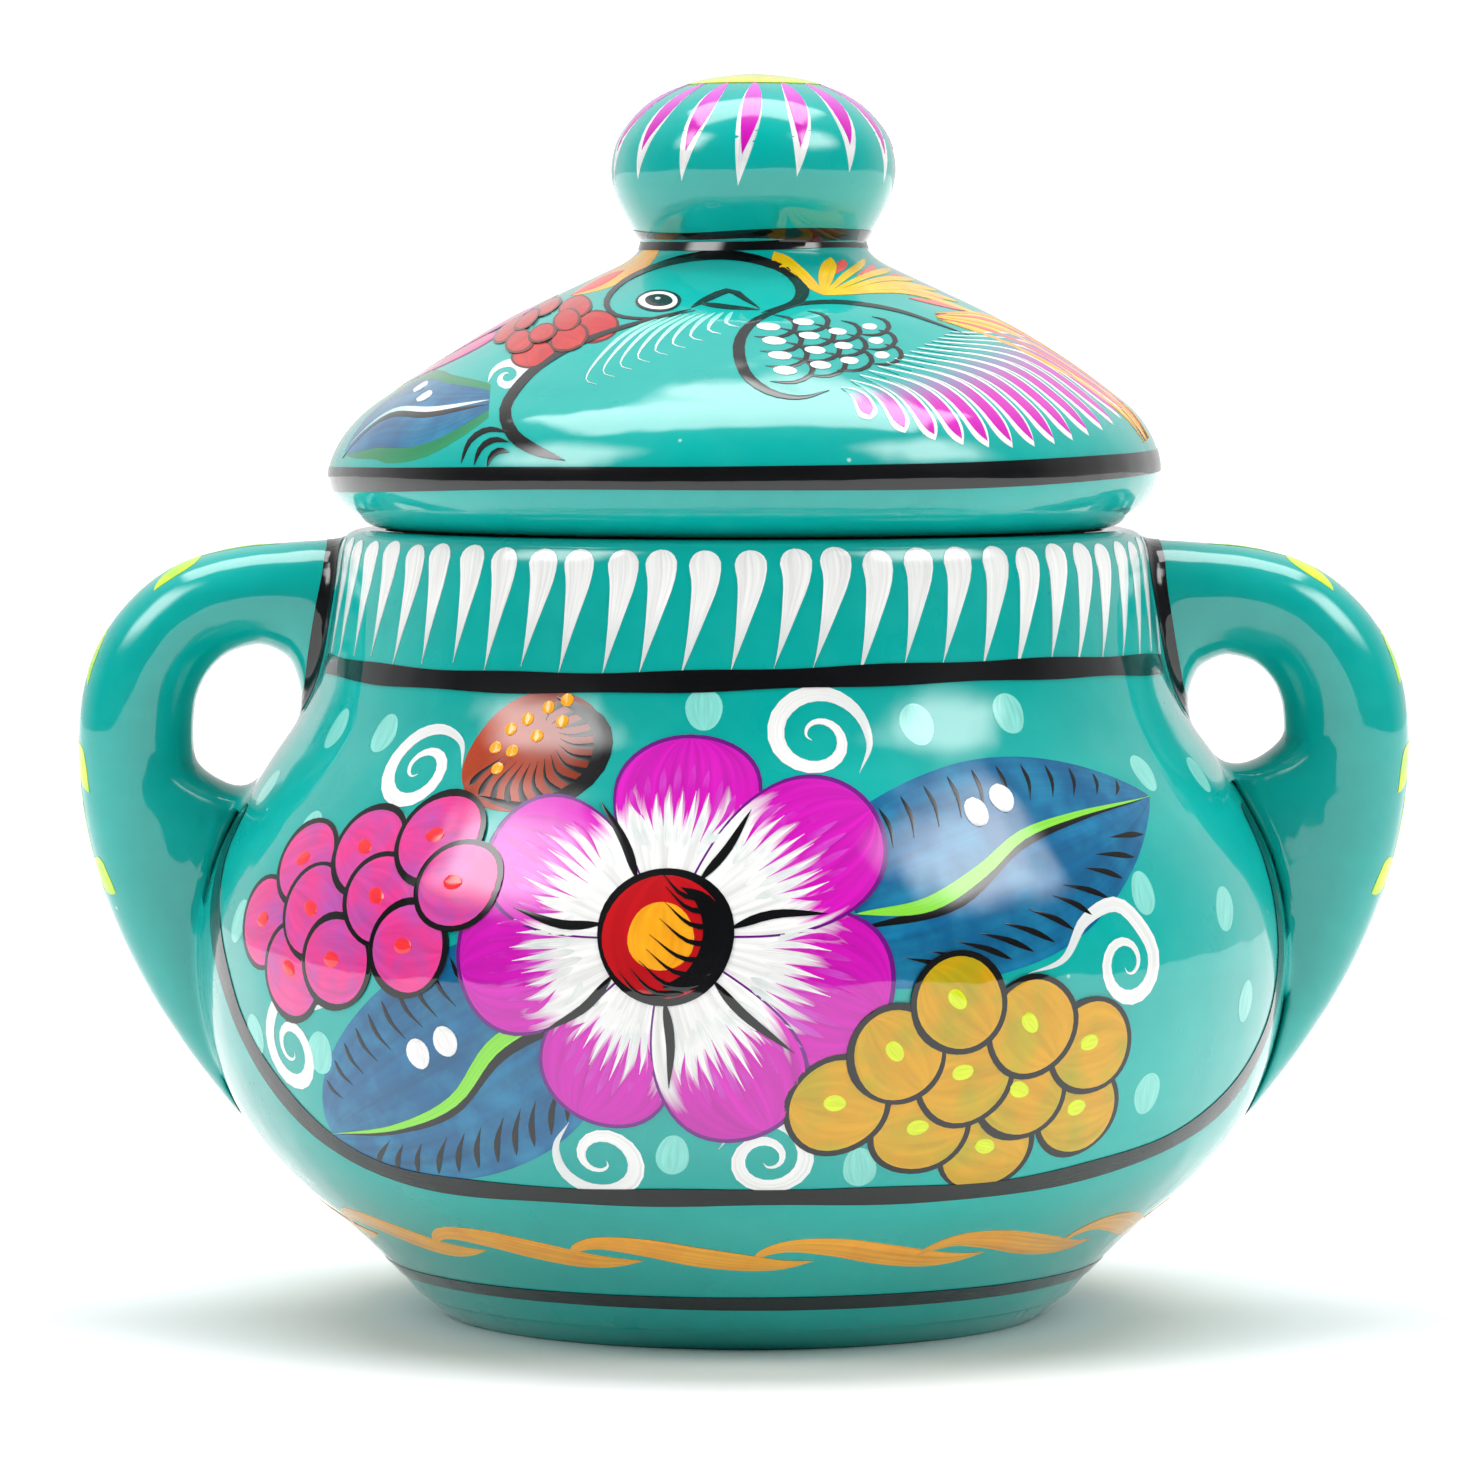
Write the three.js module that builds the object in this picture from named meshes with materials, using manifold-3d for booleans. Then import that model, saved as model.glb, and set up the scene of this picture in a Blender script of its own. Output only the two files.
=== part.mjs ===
// A small lidded pottery jar with two ear handles, as its separate clay pieces: the jar, its foot
// ring, two handles, and a lid made of a dome, a locating flange and a knob.
// Millimetres, +Z up. The origin is the centre of the foot ring's resting face, the handles lie
// along X, and the jar's front faces -Y.
import * as THREE from "three";
import { mergeVertices } from "three/addons/utils/BufferGeometryUtils.js";
import Module from "manifold-3d";

const wasm = await Module();
wasm.setup();

// ---- Driving dimensions ----
const JOINT_GAP = 0.3; // left between two clay pieces where one sits on the other
const WALL = 4.6; // thickness of the thrown walls
const TURN_STEPS = 56; // facets round every turned piece

const FOOT = { outer: 39.2, inner: 33, height: 2.6 };
const BELLY = { radius: 70.4, height: 45.5 };
const NECK = { height: 84, radius: 54.8 }; // where the belly's curve turns up into the neck
const RIM = { height: 101.5, radius: 51.4, mouth: 45.6 };
const FLOOR = { underside: FOOT.height + JOINT_GAP, thickness: 5.5 };

const LID = { radius: 53.7, seatRadius: 47.4, shoulder: 109, topHeight: 138.3, topRadius: 14.5 };
const LID_OFF_CENTRE = 1.3; // how far the hand-thrown lid's top and knob lean towards +X
const LID_FLANGE = { outer: 44.1, inner: 40.1, depth: 8.2 };
const KNOB = { neckRadius: 14.5, radius: 18.2, bulge: 148.6, height: 160 };

const HANDLE = { depth: 7.2, sides: 12, stations: 48 };
const LEFT_HOLE = { floor: 66.4, fullness: 0 }; // fullness thickens the strap into the finger hole
const RIGHT_HOLE = { floor: 70.2, fullness: 1.3 };
const HOLE_FILLET = { neck: 10, web: 12, rise: 5.8 }; // clay smoothed into the hole's corners

// ---- Clay and paint ----
const TURQUOISE = { color: 0x16b3a4, roughness: 0.15, metalness: 0 };
const BARE_CLAY = { color: 0xb5673f, roughness: 0.85, metalness: 0 }; // the lid's unpainted flange

const jar = new THREE.Group();

function addPiece(name, geometry, finish, upright = false) {
  const mesh = new THREE.Mesh(geometry, new THREE.MeshStandardMaterial(finish));
  mesh.name = name;
  if (upright) mesh.rotation.x = Math.PI / 2; // a lathe turns about Y, the jar about Z
  jar.add(mesh);
}

// ---- Outlines, as points of (radius, height) ----
const at = (radius, height) => new THREE.Vector2(radius, height);

// A smooth line through the given points.
const smooth = (points, steps) => new THREE.SplineCurve(points).getPoints(steps);

// The same line moved sideways by a distance: to its left for a positive one.
function offset(line, distance) {
  return line.map((point, i) => {
    const before = line[Math.max(i - 1, 0)];
    const after = line[Math.min(i + 1, line.length - 1)];
    const along = after.clone().sub(before).normalize();
    return at(point.x - along.y * distance, point.y + along.x * distance);
  });
}

// The outside of the jar from the floor's edge up to the shoulder of the rim.
function jarOutside(steps = 16) {
  return smooth(
    [
      at(42.3, FLOOR.underside),
      at(48.6, 9.6),
      at(60.3, 19.9),
      at(67.1, 30),
      at(BELLY.radius, BELLY.height),
      at(68.2, 59),
      at(62.6, 69.5),
      at(57.2, 77.6),
      at(NECK.radius, NECK.height),
      at(53.4, 92),
      at(RIM.radius + 0.6, RIM.height - 2),
    ],
    steps,
  );
}

function jarOutline() {
  const outside = jarOutside();
  const floorTop = FLOOR.underside + FLOOR.thickness;
  const inside = offset(outside, WALL)
    .filter((point) => point.y > floorTop + 4 && point.y < RIM.height - 6)
    .reverse();
  return [
    at(0, FLOOR.underside),
    ...outside,
    at(RIM.radius - 0.4, RIM.height - 0.5),
    at(RIM.radius - 1.8, RIM.height),
    at(RIM.mouth + 1, RIM.height),
    at(RIM.mouth, RIM.height - 1),
    at(RIM.mouth + 0.6, RIM.height - 5),
    ...inside,
    at(inside.at(-1).x - 5.5, floorTop + 1),
    at(inside.at(-1).x - 10, floorTop),
    at(0, floorTop),
  ];
}

function footOutline() {
  return [
    at(FOOT.inner, 0.6),
    at(FOOT.inner + 0.6, 0),
    at(FOOT.outer - 0.8, 0),
    at(FOOT.outer, 0.6),
    at(FOOT.outer + 2.6, FOOT.height),
    at(FOOT.inner, FOOT.height),
    at(FOOT.inner, 0.6),
  ];
}

// The lid's top surface, from the knob's seat down over the shoulder to the rim it rests on.
function lidOutside(steps = 15) {
  return smooth(
    [
      at(LID.topRadius, LID.topHeight),
      at(15.6, 136.4),
      at(21, 133.6),
      at(31.8, 128.4),
      at(44, 120.8),
      at(51.2, 115),
      at(LID.radius, LID.shoulder),
      at(52.3, 105.2),
      at(LID.seatRadius + 1.6, 102.5),
      at(LID.seatRadius, RIM.height + JOINT_GAP),
    ],
    steps,
  );
}

function lidOutline() {
  const seat = RIM.height + JOINT_GAP;
  const inside = offset(lidOutside(), -WALL)
    .filter((point) => point.x > 14 && point.y > seat + 3.4)
    .reverse();
  return [
    at(0, LID.topHeight),
    ...lidOutside(),
    at(LID_FLANGE.inner, seat),
    ...inside,
    at(0, inside.at(-1).y + 1.2),
  ].reverse();
}

function flangeOutline() {
  const top = RIM.height;
  const bottom = top - LID_FLANGE.depth;
  return [
    at(LID_FLANGE.inner, bottom + 0.8),
    at(LID_FLANGE.inner + 0.8, bottom),
    at(LID_FLANGE.outer - 0.8, bottom),
    at(LID_FLANGE.outer, bottom + 0.8),
    at(LID_FLANGE.outer, top),
    at(LID_FLANGE.inner, top),
    at(LID_FLANGE.inner, bottom + 0.8),
  ];
}

function knobOutline(steps = 13) {
  const seat = LID.topHeight + JOINT_GAP;
  const bulb = smooth(
    [
      at(KNOB.neckRadius, seat),
      at(16.2, 141.4),
      at(17.8, 144.9),
      at(KNOB.radius, KNOB.bulge),
      at(16.9, 152.6),
      at(13, 156.6),
      at(7, KNOB.height - 0.9),
      at(0, KNOB.height),
    ],
    steps,
  );
  bulb.at(-1).x = 0;
  return [at(0, seat), ...bulb];
}

const turned = (outline) => new THREE.LatheGeometry(outline, TURN_STEPS);

// The lid's turned pieces, leaning a little off centre above the shoulder.
function leaning(geometry) {
  const position = geometry.attributes.position;
  for (let i = 0; i < position.count; i++) {
    const rise = THREE.MathUtils.smoothstep(position.getY(i), LID.shoulder - 4, LID.shoulder + 16);
    position.setX(i, position.getX(i) + LID_OFF_CENTRE * rise);
  }
  return geometry;
}

// ---- Solids for cutting ----
function solidOf(geometry) {
  const bare = geometry.clone().deleteAttribute("normal");
  if (bare.attributes.uv) bare.deleteAttribute("uv");
  const merged = mergeVertices(bare, 1e-3);
  return new wasm.Manifold(
    new wasm.Mesh({
      numProp: 3,
      vertProperties: new Float32Array(merged.attributes.position.array),
      triVerts: new Uint32Array(merged.index.array),
    }),
  );
}

function geometryOf(solid) {
  const mesh = solid.getMesh();
  return new THREE.BufferGeometry()
    .setAttribute("position", new THREE.BufferAttribute(mesh.vertProperties, 3))
    .setIndex(new THREE.BufferAttribute(mesh.triVerts, 1));
}

// ---- Handles ----
// The ear handle's centre line, from inside the neck out and down to where it dies into the belly,
// as [radius, height, half thickness].
const EAR = [
  [48, 92.2, 7.9],
  [55, 92.8, 7.2],
  [59, 93, 6.7],
  [64, 92.8, 6.4],
  [70.2, 90.9, 6.6],
  [74.8, 87, 6.9],
  [77.6, 82, 7.2],
  [78.6, 76.4, 7.4],
  [78.5, 70.8, 7.5],
  [77.8, 65.5, 7.6],
  [76.7, 60, 7.5],
  [74.6, 53, 7.2],
  [71.6, 46.2, 7],
  [68, 39.8, 6.7],
  [64.4, 34, 6.2],
  [60.6, 28.2, 5.4],
  [56.5, 22.6, 4],
];

// How far clay smoothed into the finger hole's corners stands in from the strap's own underside.
function holeFill(point, hole) {
  const atNeck = HOLE_FILLET.neck * Math.exp((NECK.radius + 0.6 - point.x) / 1.8);
  const below = Math.max(hole.floor + HOLE_FILLET.rise - point.z, 0);
  return Math.min(atNeck, HOLE_FILLET.neck) + Math.min(below ** 2 / 8, HOLE_FILLET.web);
}

// A closed tube whose section follows the ear: side is -1 for the left handle and 1 for the right.
function earGeometry(side, hole) {
  const centre = new THREE.CatmullRomCurve3(EAR.map(([r, z]) => new THREE.Vector3(r, 0, z)));
  const thickness = new THREE.SplineCurve(EAR.map(([, , half], i) => at(i, half)));
  const corners = [];
  for (let i = 0; i <= HANDLE.stations; i++) {
    const t = i / HANDLE.stations;
    const point = centre.getPoint(t);
    const along = centre.getTangent(t);
    const outward = new THREE.Vector3(-along.z, 0, along.x);
    const half = thickness.getPoint(t).y;
    for (let k = 0; k < HANDLE.sides; k++) {
      const turn = (2 * Math.PI * k) / HANDLE.sides;
      const inner = half + hole.fullness + holeFill(point, hole);
      const across = Math.cos(turn) * (Math.cos(turn) < 0 ? inner : half);
      corners.push(
        side * (point.x + outward.x * across),
        Math.sin(turn) * HANDLE.depth,
        point.z + outward.z * across,
      );
    }
  }
  return new THREE.BufferGeometry()
    .setAttribute("position", new THREE.BufferAttribute(new Float32Array(corners), 3))
    .setIndex(tubeFaces(HANDLE.stations, HANDLE.sides, side > 0));
}

// The triangles of a closed tube of rings, with a fan at each end.
function tubeFaces(stations, sides, flip) {
  const faces = [];
  const face = (a, b, c) => faces.push(...(flip ? [a, c, b] : [a, b, c]));
  const last = stations * sides;
  for (let i = 0; i < stations; i++)
    for (let k = 0; k < sides; k++) {
      const next = (k + 1) % sides;
      const [a, b] = [i * sides + k, i * sides + next];
      face(a, b, b + sides);
      face(a, b + sides, a + sides);
    }
  for (let k = 1; k < sides - 1; k++) {
    face(0, k + 1, k);
    face(last, last + k, last + k + 1);
  }
  return faces;
}

// The jar's outside as a filled solid, a joint gap larger all round: what a handle is cut to fit.
function jarCutter() {
  const skin = offset(jarOutside(), -JOINT_GAP);
  const outline = [at(0, skin[0].y), ...skin, at(skin.at(-1).x, RIM.height + 9), at(0, RIM.height + 9)];
  return solidOf(turned(outline).rotateX(Math.PI / 2));
}

function addHandle(name, side, hole) {
  const ear = solidOf(earGeometry(side, hole));
  const pieces = ear.subtract(jarCutter()).decompose();
  const largest = pieces.reduce((a, b) => (a.volume() > b.volume() ? a : b));
  addPiece(name, geometryOf(largest), TURQUOISE);
}

// ---- Assembly ----
addPiece("jar_body", turned(jarOutline()), TURQUOISE, true);
addPiece("foot_ring", turned(footOutline()), TURQUOISE, true);
addHandle("left_handle", -1, LEFT_HOLE);
addHandle("right_handle", 1, RIGHT_HOLE);
addPiece("lid_dome", leaning(turned(lidOutline())), TURQUOISE, true);
addPiece("lid_flange", turned(flangeOutline()), BARE_CLAY, true);
addPiece("lid_knob", leaning(turned(knobOutline())), TURQUOISE, true);

export default jar;
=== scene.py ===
import bisect
import math
import random

import bmesh
import bpy
from mathutils import Matrix, Vector


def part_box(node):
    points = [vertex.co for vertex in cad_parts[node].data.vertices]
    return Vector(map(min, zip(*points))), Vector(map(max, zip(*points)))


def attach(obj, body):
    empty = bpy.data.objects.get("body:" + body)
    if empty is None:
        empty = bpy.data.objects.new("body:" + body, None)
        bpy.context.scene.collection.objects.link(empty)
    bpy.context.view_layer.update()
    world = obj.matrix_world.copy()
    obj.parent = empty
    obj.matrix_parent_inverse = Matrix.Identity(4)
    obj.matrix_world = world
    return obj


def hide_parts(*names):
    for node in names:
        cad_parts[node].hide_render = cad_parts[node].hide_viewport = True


# The looks of a small hand-painted lidded jar. The clay is turned as smooth shells that follow the
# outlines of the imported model, the ear handles are tubes that flow into the pot, and each brush
# stroke is a thin closed sheet of paint laid on the clay.
# Lengths are in millimetres unless a name says otherwise, and angles round the jar are in degrees:
# 0 is the front (-Y) and 90 is +X.

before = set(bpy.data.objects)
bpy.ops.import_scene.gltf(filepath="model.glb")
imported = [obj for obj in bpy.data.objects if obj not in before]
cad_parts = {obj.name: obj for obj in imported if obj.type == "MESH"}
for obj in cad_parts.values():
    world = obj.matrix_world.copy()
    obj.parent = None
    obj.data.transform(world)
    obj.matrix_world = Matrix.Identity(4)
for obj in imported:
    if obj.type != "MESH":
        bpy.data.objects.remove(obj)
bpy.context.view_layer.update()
hand = random.Random(11)  # the painter's hand: every small irregularity comes from here

MM = 0.001
TURN_STEPS = 256  # facets round a turned piece
COAT = 0.03  # thickness of one layer of paint
SINK = 0.06  # how far the hidden underside of the paint lies in the clay
OVERLAP = 0.35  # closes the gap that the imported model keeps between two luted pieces
# The lid's top stands this far off the axis towards +X. The lid starts to lean at the height
# LEAN_LOW, and from LEAN_HIGH up it has the whole shift.
LID_TOP_OFFSET = 500 * (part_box("lid_knob")[0].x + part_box("lid_knob")[1].x)
LEAN_LOW = 105
LEAN_HIGH = 125


# ---- Colours ----
def colour(code):
    """A linear colour from its six-digit sRGB code."""
    channels = [int(code[i : i + 2], 16) / 255 for i in (0, 2, 4)]
    linear = [c / 12.92 if c <= 0.04045 else ((c + 0.055) / 1.055) ** 2.4 for c in channels]
    return (*linear, 1.0)


TURQUOISE = colour("00ADA5")
BLACK = colour("06070A")
WHITE = colour("F4F4F2")
GREY_WHITE = colour("C9D6D4")
PALE = colour("86DBD0")
MAGENTA = colour("CE10B4")
ORCHID = colour("D058D0")
PLUM = colour("6A1280")
PINK = colour("E93C92")
MAUVE = colour("A955B4")
RED = colour("C20C18")
SCARLET = colour("F8323C")
ROSE = colour("CC3430")
ORANGE = colour("F59A10")
AMBER = colour("FFAE20")
GOLD = colour("DCA200")
OLIVE = colour("ACA614")
YELLOW = colour("F9CF0C")
LEMON = colour("DDEE1E")
LIME = colour("8ADF40")
GREEN = colour("1B8A58")
BLUE = colour("005F8F")
SKY_BLUE = colour("1A84AE")
RUST = colour("A9380E")
UMBER = colour("5E1C0A")
CORAL = colour("F4645A")


# ---- Smooth lines ----
def between(before, start, end, after, t):
    """A point the share t along the centripetal Catmull-Rom curve from start to end."""
    gaps = [max((b - a).length, 1e-6) ** 0.5 for a, b in ((before, start), (start, end), (end, after))]
    first, middle, last = gaps
    slope = (end - start) / middle
    leave = (start - before) / first - (end - before) / (first + middle) + slope
    arrive = slope - (after - start) / (middle + last) + (after - end) / last
    return (
        start * (2 * t**3 - 3 * t**2 + 1)
        + leave * middle * (t**3 - 2 * t**2 + t)
        + end * (3 * t**2 - 2 * t**3)
        + arrive * middle * (t**3 - t**2)
    )


def flowing(points, step):
    """A smooth line through the points, with a point at least every step."""
    knots = [Vector(p) for p in points]
    line = [2 * knots[0] - knots[1], *knots, 2 * knots[-1] - knots[-2]]
    out = []
    for a, b, c, d in zip(line, line[1:], line[2:], line[3:]):
        count = max(1, math.ceil((c - b).length / step))
        out += [between(a, b, c, d, i / count) for i in range(count)]
    return out + [knots[-1]]


class Route:
    """A line that knows how long it is."""

    def __init__(self, line):
        self.line = line
        self.marks = [0.0]
        for a, b in zip(line, line[1:]):
            self.marks.append(self.marks[-1] + (b - a).length)
        self.length = self.marks[-1]

    def at(self, distance):
        """The point this far along."""
        i = min(max(bisect.bisect_right(self.marks, distance), 1), len(self.marks) - 1)
        gap = max(self.marks[i] - self.marks[i - 1], 1e-9)
        share = min(max((distance - self.marks[i - 1]) / gap, 0), 1)
        return self.line[i - 1].lerp(self.line[i], share)

    def heading(self, distance):
        """The direction of travel this far along."""
        ahead = self.at(min(distance + 0.4, self.length))
        behind = self.at(max(distance - 0.4, 0))
        return (ahead - behind).normalized()


# ---- Outlines of the turned pieces, as (radius, height) ----
def half_section(node):
    """The outline of a turned node's +X half in the plane y = 0, in order, as (x, height)."""
    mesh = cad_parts[node].data
    keys = [tuple(round(c * 1e6) for c in v.co) for v in mesh.vertices]  # in micrometres
    beside = {}
    for edge in mesh.edges:
        a, b = (keys[i] for i in edge.vertices)
        if a != b and all(abs(k[1]) <= 2 and k[0] >= -2 for k in (a, b)):
            beside.setdefault(a, set()).add(b)
            beside.setdefault(b, set()).add(a)
    on_axis = [k for k in beside if len(beside[k]) == 1]
    here = min(on_axis or beside, key=lambda k: (k[2], -k[0]))
    chain = [here]
    while onward := sorted(beside[here].difference(chain), reverse=True):
        here = onward[0]
        chain.append(here)
    return [Vector((x / 1000, z / 1000)) for x, _, z in chain]


def turning(before, corner, after):
    """How far an outline turns at a corner, in degrees."""
    return math.degrees((corner - before).angle(after - corner, 0))


def refined(chain, closed):
    """The outline as a fine smooth line, with its sharp corners softened."""
    ring = chain[-1:] + chain + chain[:1]
    inner = range(len(chain)) if closed else range(1, len(chain) - 1)
    sharp = [i for i in inner if turning(*ring[i : i + 3]) > 40]
    cuts = sharp + [sharp[0] + len(chain)] if closed else [0, *sharp, len(chain) - 1]
    loop = chain + chain
    fine = []
    for start, end in zip(cuts, cuts[1:]):
        fine += flowing(loop[start : end + 1], 0.9)[:-1]
    if not closed:
        fine.append(chain[-1])
    return softened(fine, closed)


def softened(line, closed):
    """The line with each sharp corner replaced by a small round."""
    reach = 0.45
    out = []
    for i, corner in enumerate(line):
        before, after = line[i - 1], line[(i + 1) % len(line)]
        at_end = not closed and i in (0, len(line) - 1)
        if at_end or turning(before, corner, after) < 30:
            out.append(corner)
            continue
        enter = corner + (before - corner).normalized() * min(reach, (before - corner).length / 2)
        leave = corner + (after - corner).normalized() * min(reach, (after - corner).length / 2)
        for t in (0, 0.33, 0.67, 1):
            out.append(enter * (1 - t) ** 2 + corner * 2 * t * (1 - t) + leave * t**2)
    return out


def outside(chain):
    """The part of an outline from its widest corner at the bottom up to its first one at the top."""
    low = min(p.y for p in chain)
    high = max(p.y for p in chain)
    start = max((i for i, p in enumerate(chain) if p.y < low + 0.06), key=lambda i: chain[i].x)
    end = next(i for i, p in enumerate(chain) if i > start and p.y > high - 0.03)
    return chain[start : end + 1]


def upright(height):
    """The pot stands straight."""
    return 0.0


def leaning(height):
    """How far the lid's centre stands off towards +X at a height."""
    share = min(max((height - LEAN_LOW) / (LEAN_HIGH - LEAN_LOW), 0), 1)
    return LID_TOP_OFFSET * share * share * (3 - 2 * share)


def waver(angle, height):
    """The unevenness of a hand-thrown wall."""
    return (
        0.10 * math.sin(2 * angle + height / 13)
        + 0.07 * math.sin(5 * angle - height / 9 + 1)
        + 0.05 * math.sin(9 * angle + height / 5)
    )


def thrown(angle, radius, height, lean):
    """The point of a turned wall at an angle in radians."""
    radius += waver(angle, height) * min(radius / 25, 1)
    x = lean(height) + radius * math.sin(angle)
    return Vector((x, -radius * math.cos(angle), height))


def section_of(node, lean=upright, closed=False):
    """The fine outline of a turned node as (radius, height)."""
    chain = [Vector((p.x - lean(p.y), p.y)) for p in half_section(node)]
    return refined(chain, closed)


POT_SECTION = section_of("jar_body")
LID_SECTION = section_of("lid_dome", leaning)
KNOB_SECTION = section_of("lid_knob", leaning)


class Skin:
    """The painted outside of turned clay, measured round by angle and upwards by length."""

    def __init__(self, outline, lean):
        self.route = Route(outline)
        self.lean = lean
        self.heights = [p.y for p in outline]

    def radius(self, length):
        return max(self.route.at(length).x, 0.5)

    def length_at(self, height):
        """The length along the outline at which it reaches a height."""
        i = next((i for i, h in enumerate(self.heights) if h >= height), len(self.heights) - 1)
        i = max(i, 1)
        rise = max(self.heights[i] - self.heights[i - 1], 1e-6)
        share = min(max((height - self.heights[i - 1]) / rise, 0), 1)
        return self.route.marks[i - 1] + share * (self.route.marks[i] - self.route.marks[i - 1])

    def point(self, angle, length, lift=0.0):
        """The point at an angle in radians, raised off the clay."""
        spot = self.route.at(length)
        way = self.route.heading(length)
        lifted = spot + Vector((way.y, -way.x)) * lift
        return thrown(angle, lifted.x, lifted.y, self.lean)


pot_skin = Skin(outside(POT_SECTION), upright)
lid_skin = Skin(outside(LID_SECTION) + outside(KNOB_SECTION), leaning)


# ---- Charts: flat patches to paint in ----
class Chart:
    """A patch of a skin with its own origin, turn and size, in millimetres right and up."""

    def __init__(self, skin, angle, length, matrix=None):
        self.skin = skin
        self.angle = angle
        self.length = length
        self.matrix = matrix or Matrix.Identity(3)

    def moved(self, u=0.0, v=0.0, turn=0.0, size=1.0):
        """A chart whose origin is at (u, v) in this one."""
        c, s = math.cos(math.radians(turn)) * size, math.sin(math.radians(turn)) * size
        step = Matrix(((c, -s, u), (s, c, v), (0, 0, 1)))
        return Chart(self.skin, self.angle, self.length, self.matrix @ step)

    def scale(self, spot):
        """Millimetres in one unit to the right and in one unit up."""
        return 1.0, 1.0

    def point(self, spot, lift):
        right, up, _ = self.matrix @ Vector((spot[0], spot[1], 1))
        length = self.length + up
        angle = math.radians(self.angle) + right / self.skin.radius(length)
        return self.skin.point(angle, length, lift)


class Belt:
    """The whole way round a skin: degrees to the right, and length upwards."""

    def __init__(self, skin):
        self.skin = skin

    def scale(self, spot):
        return math.radians(self.skin.radius(spot[1])), 1.0

    def point(self, spot, lift):
        return self.skin.point(math.radians(spot[0]), spot[1], lift)


class Crown:
    """The top of the knob seen from above, in millimetres to the right and to the back."""

    def __init__(self, skin):
        self.skin = skin

    def scale(self, spot):
        return 1.0, 1.0

    def point(self, spot, lift):
        reach = math.hypot(*spot)
        angle = math.atan2(spot[0], -spot[1])
        rest = [(p.x, m) for p, m in zip(self.skin.route.line, self.skin.route.marks)]
        inner = next(i for i in range(len(rest) - 1, 0, -1) if rest[i - 1][0] >= reach)
        (wide, low), (slim, high) = rest[inner - 1], rest[inner]
        share = (wide - reach) / max(wide - slim, 1e-6)
        return self.skin.point(angle, low + share * (high - low), lift)


# ---- Meshes ----
def settle(name, mesh, body, material_slot, nodes=()):
    """Put a finished mesh in the scene, on its body."""
    piece = bpy.data.objects.new(name, mesh)
    bpy.context.scene.collection.objects.link(piece)
    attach(piece, body)
    if nodes:
        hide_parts(*nodes)
    return piece


def solid_mesh(name, corners, faces, crease):
    """A closed mesh from points in millimetres, its faces all turned outwards. It is smooth, but
    for edges that turn by more than crease degrees."""
    mesh = bpy.data.meshes.new(name)
    mesh.from_pydata([p * MM for p in corners], [], faces)
    work = bmesh.new()
    work.from_mesh(mesh)
    bmesh.ops.recalc_face_normals(work, faces=work.faces)
    work.to_mesh(mesh)
    work.free()
    mesh.shade_smooth()
    mesh.set_sharp_from_angle(angle=math.radians(crease))
    return mesh


class Coat:
    """One colour's brush strokes: closed sheets of paint that all ride on the same body."""

    def __init__(self, name, body, slot):
        self.name = name
        self.body = body
        self.slot = slot
        self.corners, self.faces = [], []
        self.tints, self.tips, self.brushes = [], [], []

    def lay(self, chart, rows, lift, crown, tint, tip, closed):
        """Adds one sheet: rows of (spot, across, along) whose edges turn down into the clay."""
        first = len(self.corners)
        seed = hand.random()
        for row in rows:
            for spot, across, along in row:
                height = lift * COAT + crown * (1 - across * across)
                self.corners.append(chart.point(spot, height))
                self.brushes += [across, along, seed]
            for spot, across, along in reversed(row):
                self.corners.append(chart.point(spot, -SINK))
                self.brushes += [across, along, seed]
        count = len(self.corners) - first
        self.tints += [*tint] * count
        self.tips += [*(tip or tint)] * count
        ring = 2 * len(rows[0])
        for i in range(len(rows) - (0 if closed else 1)):
            here = first + i * ring
            onward = first + (i + 1) % len(rows) * ring
            for k in range(ring):
                j = (k + 1) % ring
                self.faces.append((here + k, here + j, onward + j, onward + k))
        if not closed:
            last = first + (len(rows) - 1) * ring
            self.faces.append([first + k for k in reversed(range(ring))])
            self.faces.append([last + k for k in range(ring)])

    def stroke(self, chart, points, width, tint, tip=None, lift=1.0, columns=4, step=1.3,
               crown=0.012):
        """One pull of the brush along a line; width(share, length) is how wide it is."""
        route = Route(flowing(points, 0.6))
        count = math.ceil(route.length / step) + 7
        rows = []
        for i in range(count + 1):
            share = i / count  # the rows crowd towards both ends, where the width changes most
            share -= 0.92 * math.sin(2 * math.pi * share) / (2 * math.pi)
            spot = route.at(share * route.length)
            way = route.heading(share * route.length)
            right, up = chart.scale(spot)
            way = Vector((way.x * right, way.y * up)).normalized()
            side = Vector((way.y / right, -way.x / up))
            half = max(width(share, route.length), 0.06) / 2
            row = []
            for k in range(columns + 1):
                across = 2 * k / columns - 1
                row.append((spot + side * across * half, across, share))
            rows.append(row)
        self.lay(chart, rows, lift, crown, tint, tip, closed=False)

    def blob(self, chart, u, v, wide, tall, tint, tip=None, lift=1.0, turn=0.0, uneven=0.05,
             crown=0.012):
        """A dab of paint, wide across and tall along its turned axis."""
        c, s = math.cos(math.radians(turn)), math.sin(math.radians(turn))
        foot = (u + s * tall / 2, v - c * tall / 2)
        head = (u - s * tall / 2, v + c * tall / 2)
        phase = hand.uniform(0, 6)

        def width(share, length):
            round_ = 2 * math.sqrt(max(share * (1 - share), 0))
            return wide * round_ * (1 + uneven * math.sin(5 * share + phase))

        columns = max(4, math.ceil(wide / 1.1))
        self.stroke(chart, [foot, head], width, tint, tip, lift, columns, step=1.0, crown=crown)

    def finish(self, material):
        """Turns the strokes into a piece."""
        mesh = solid_mesh(self.name, self.corners, self.faces, crease=38)
        for name, values in (("tint", self.tints), ("tip", self.tips)):
            mesh.attributes.new(name, "FLOAT_COLOR", "POINT").data.foreach_set("color", values)
        mesh.attributes.new("brush", "FLOAT_VECTOR", "POINT").data.foreach_set("vector", self.brushes)
        mesh.materials.append(material)
        return settle(self.name, mesh, self.body, self.slot)


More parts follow.
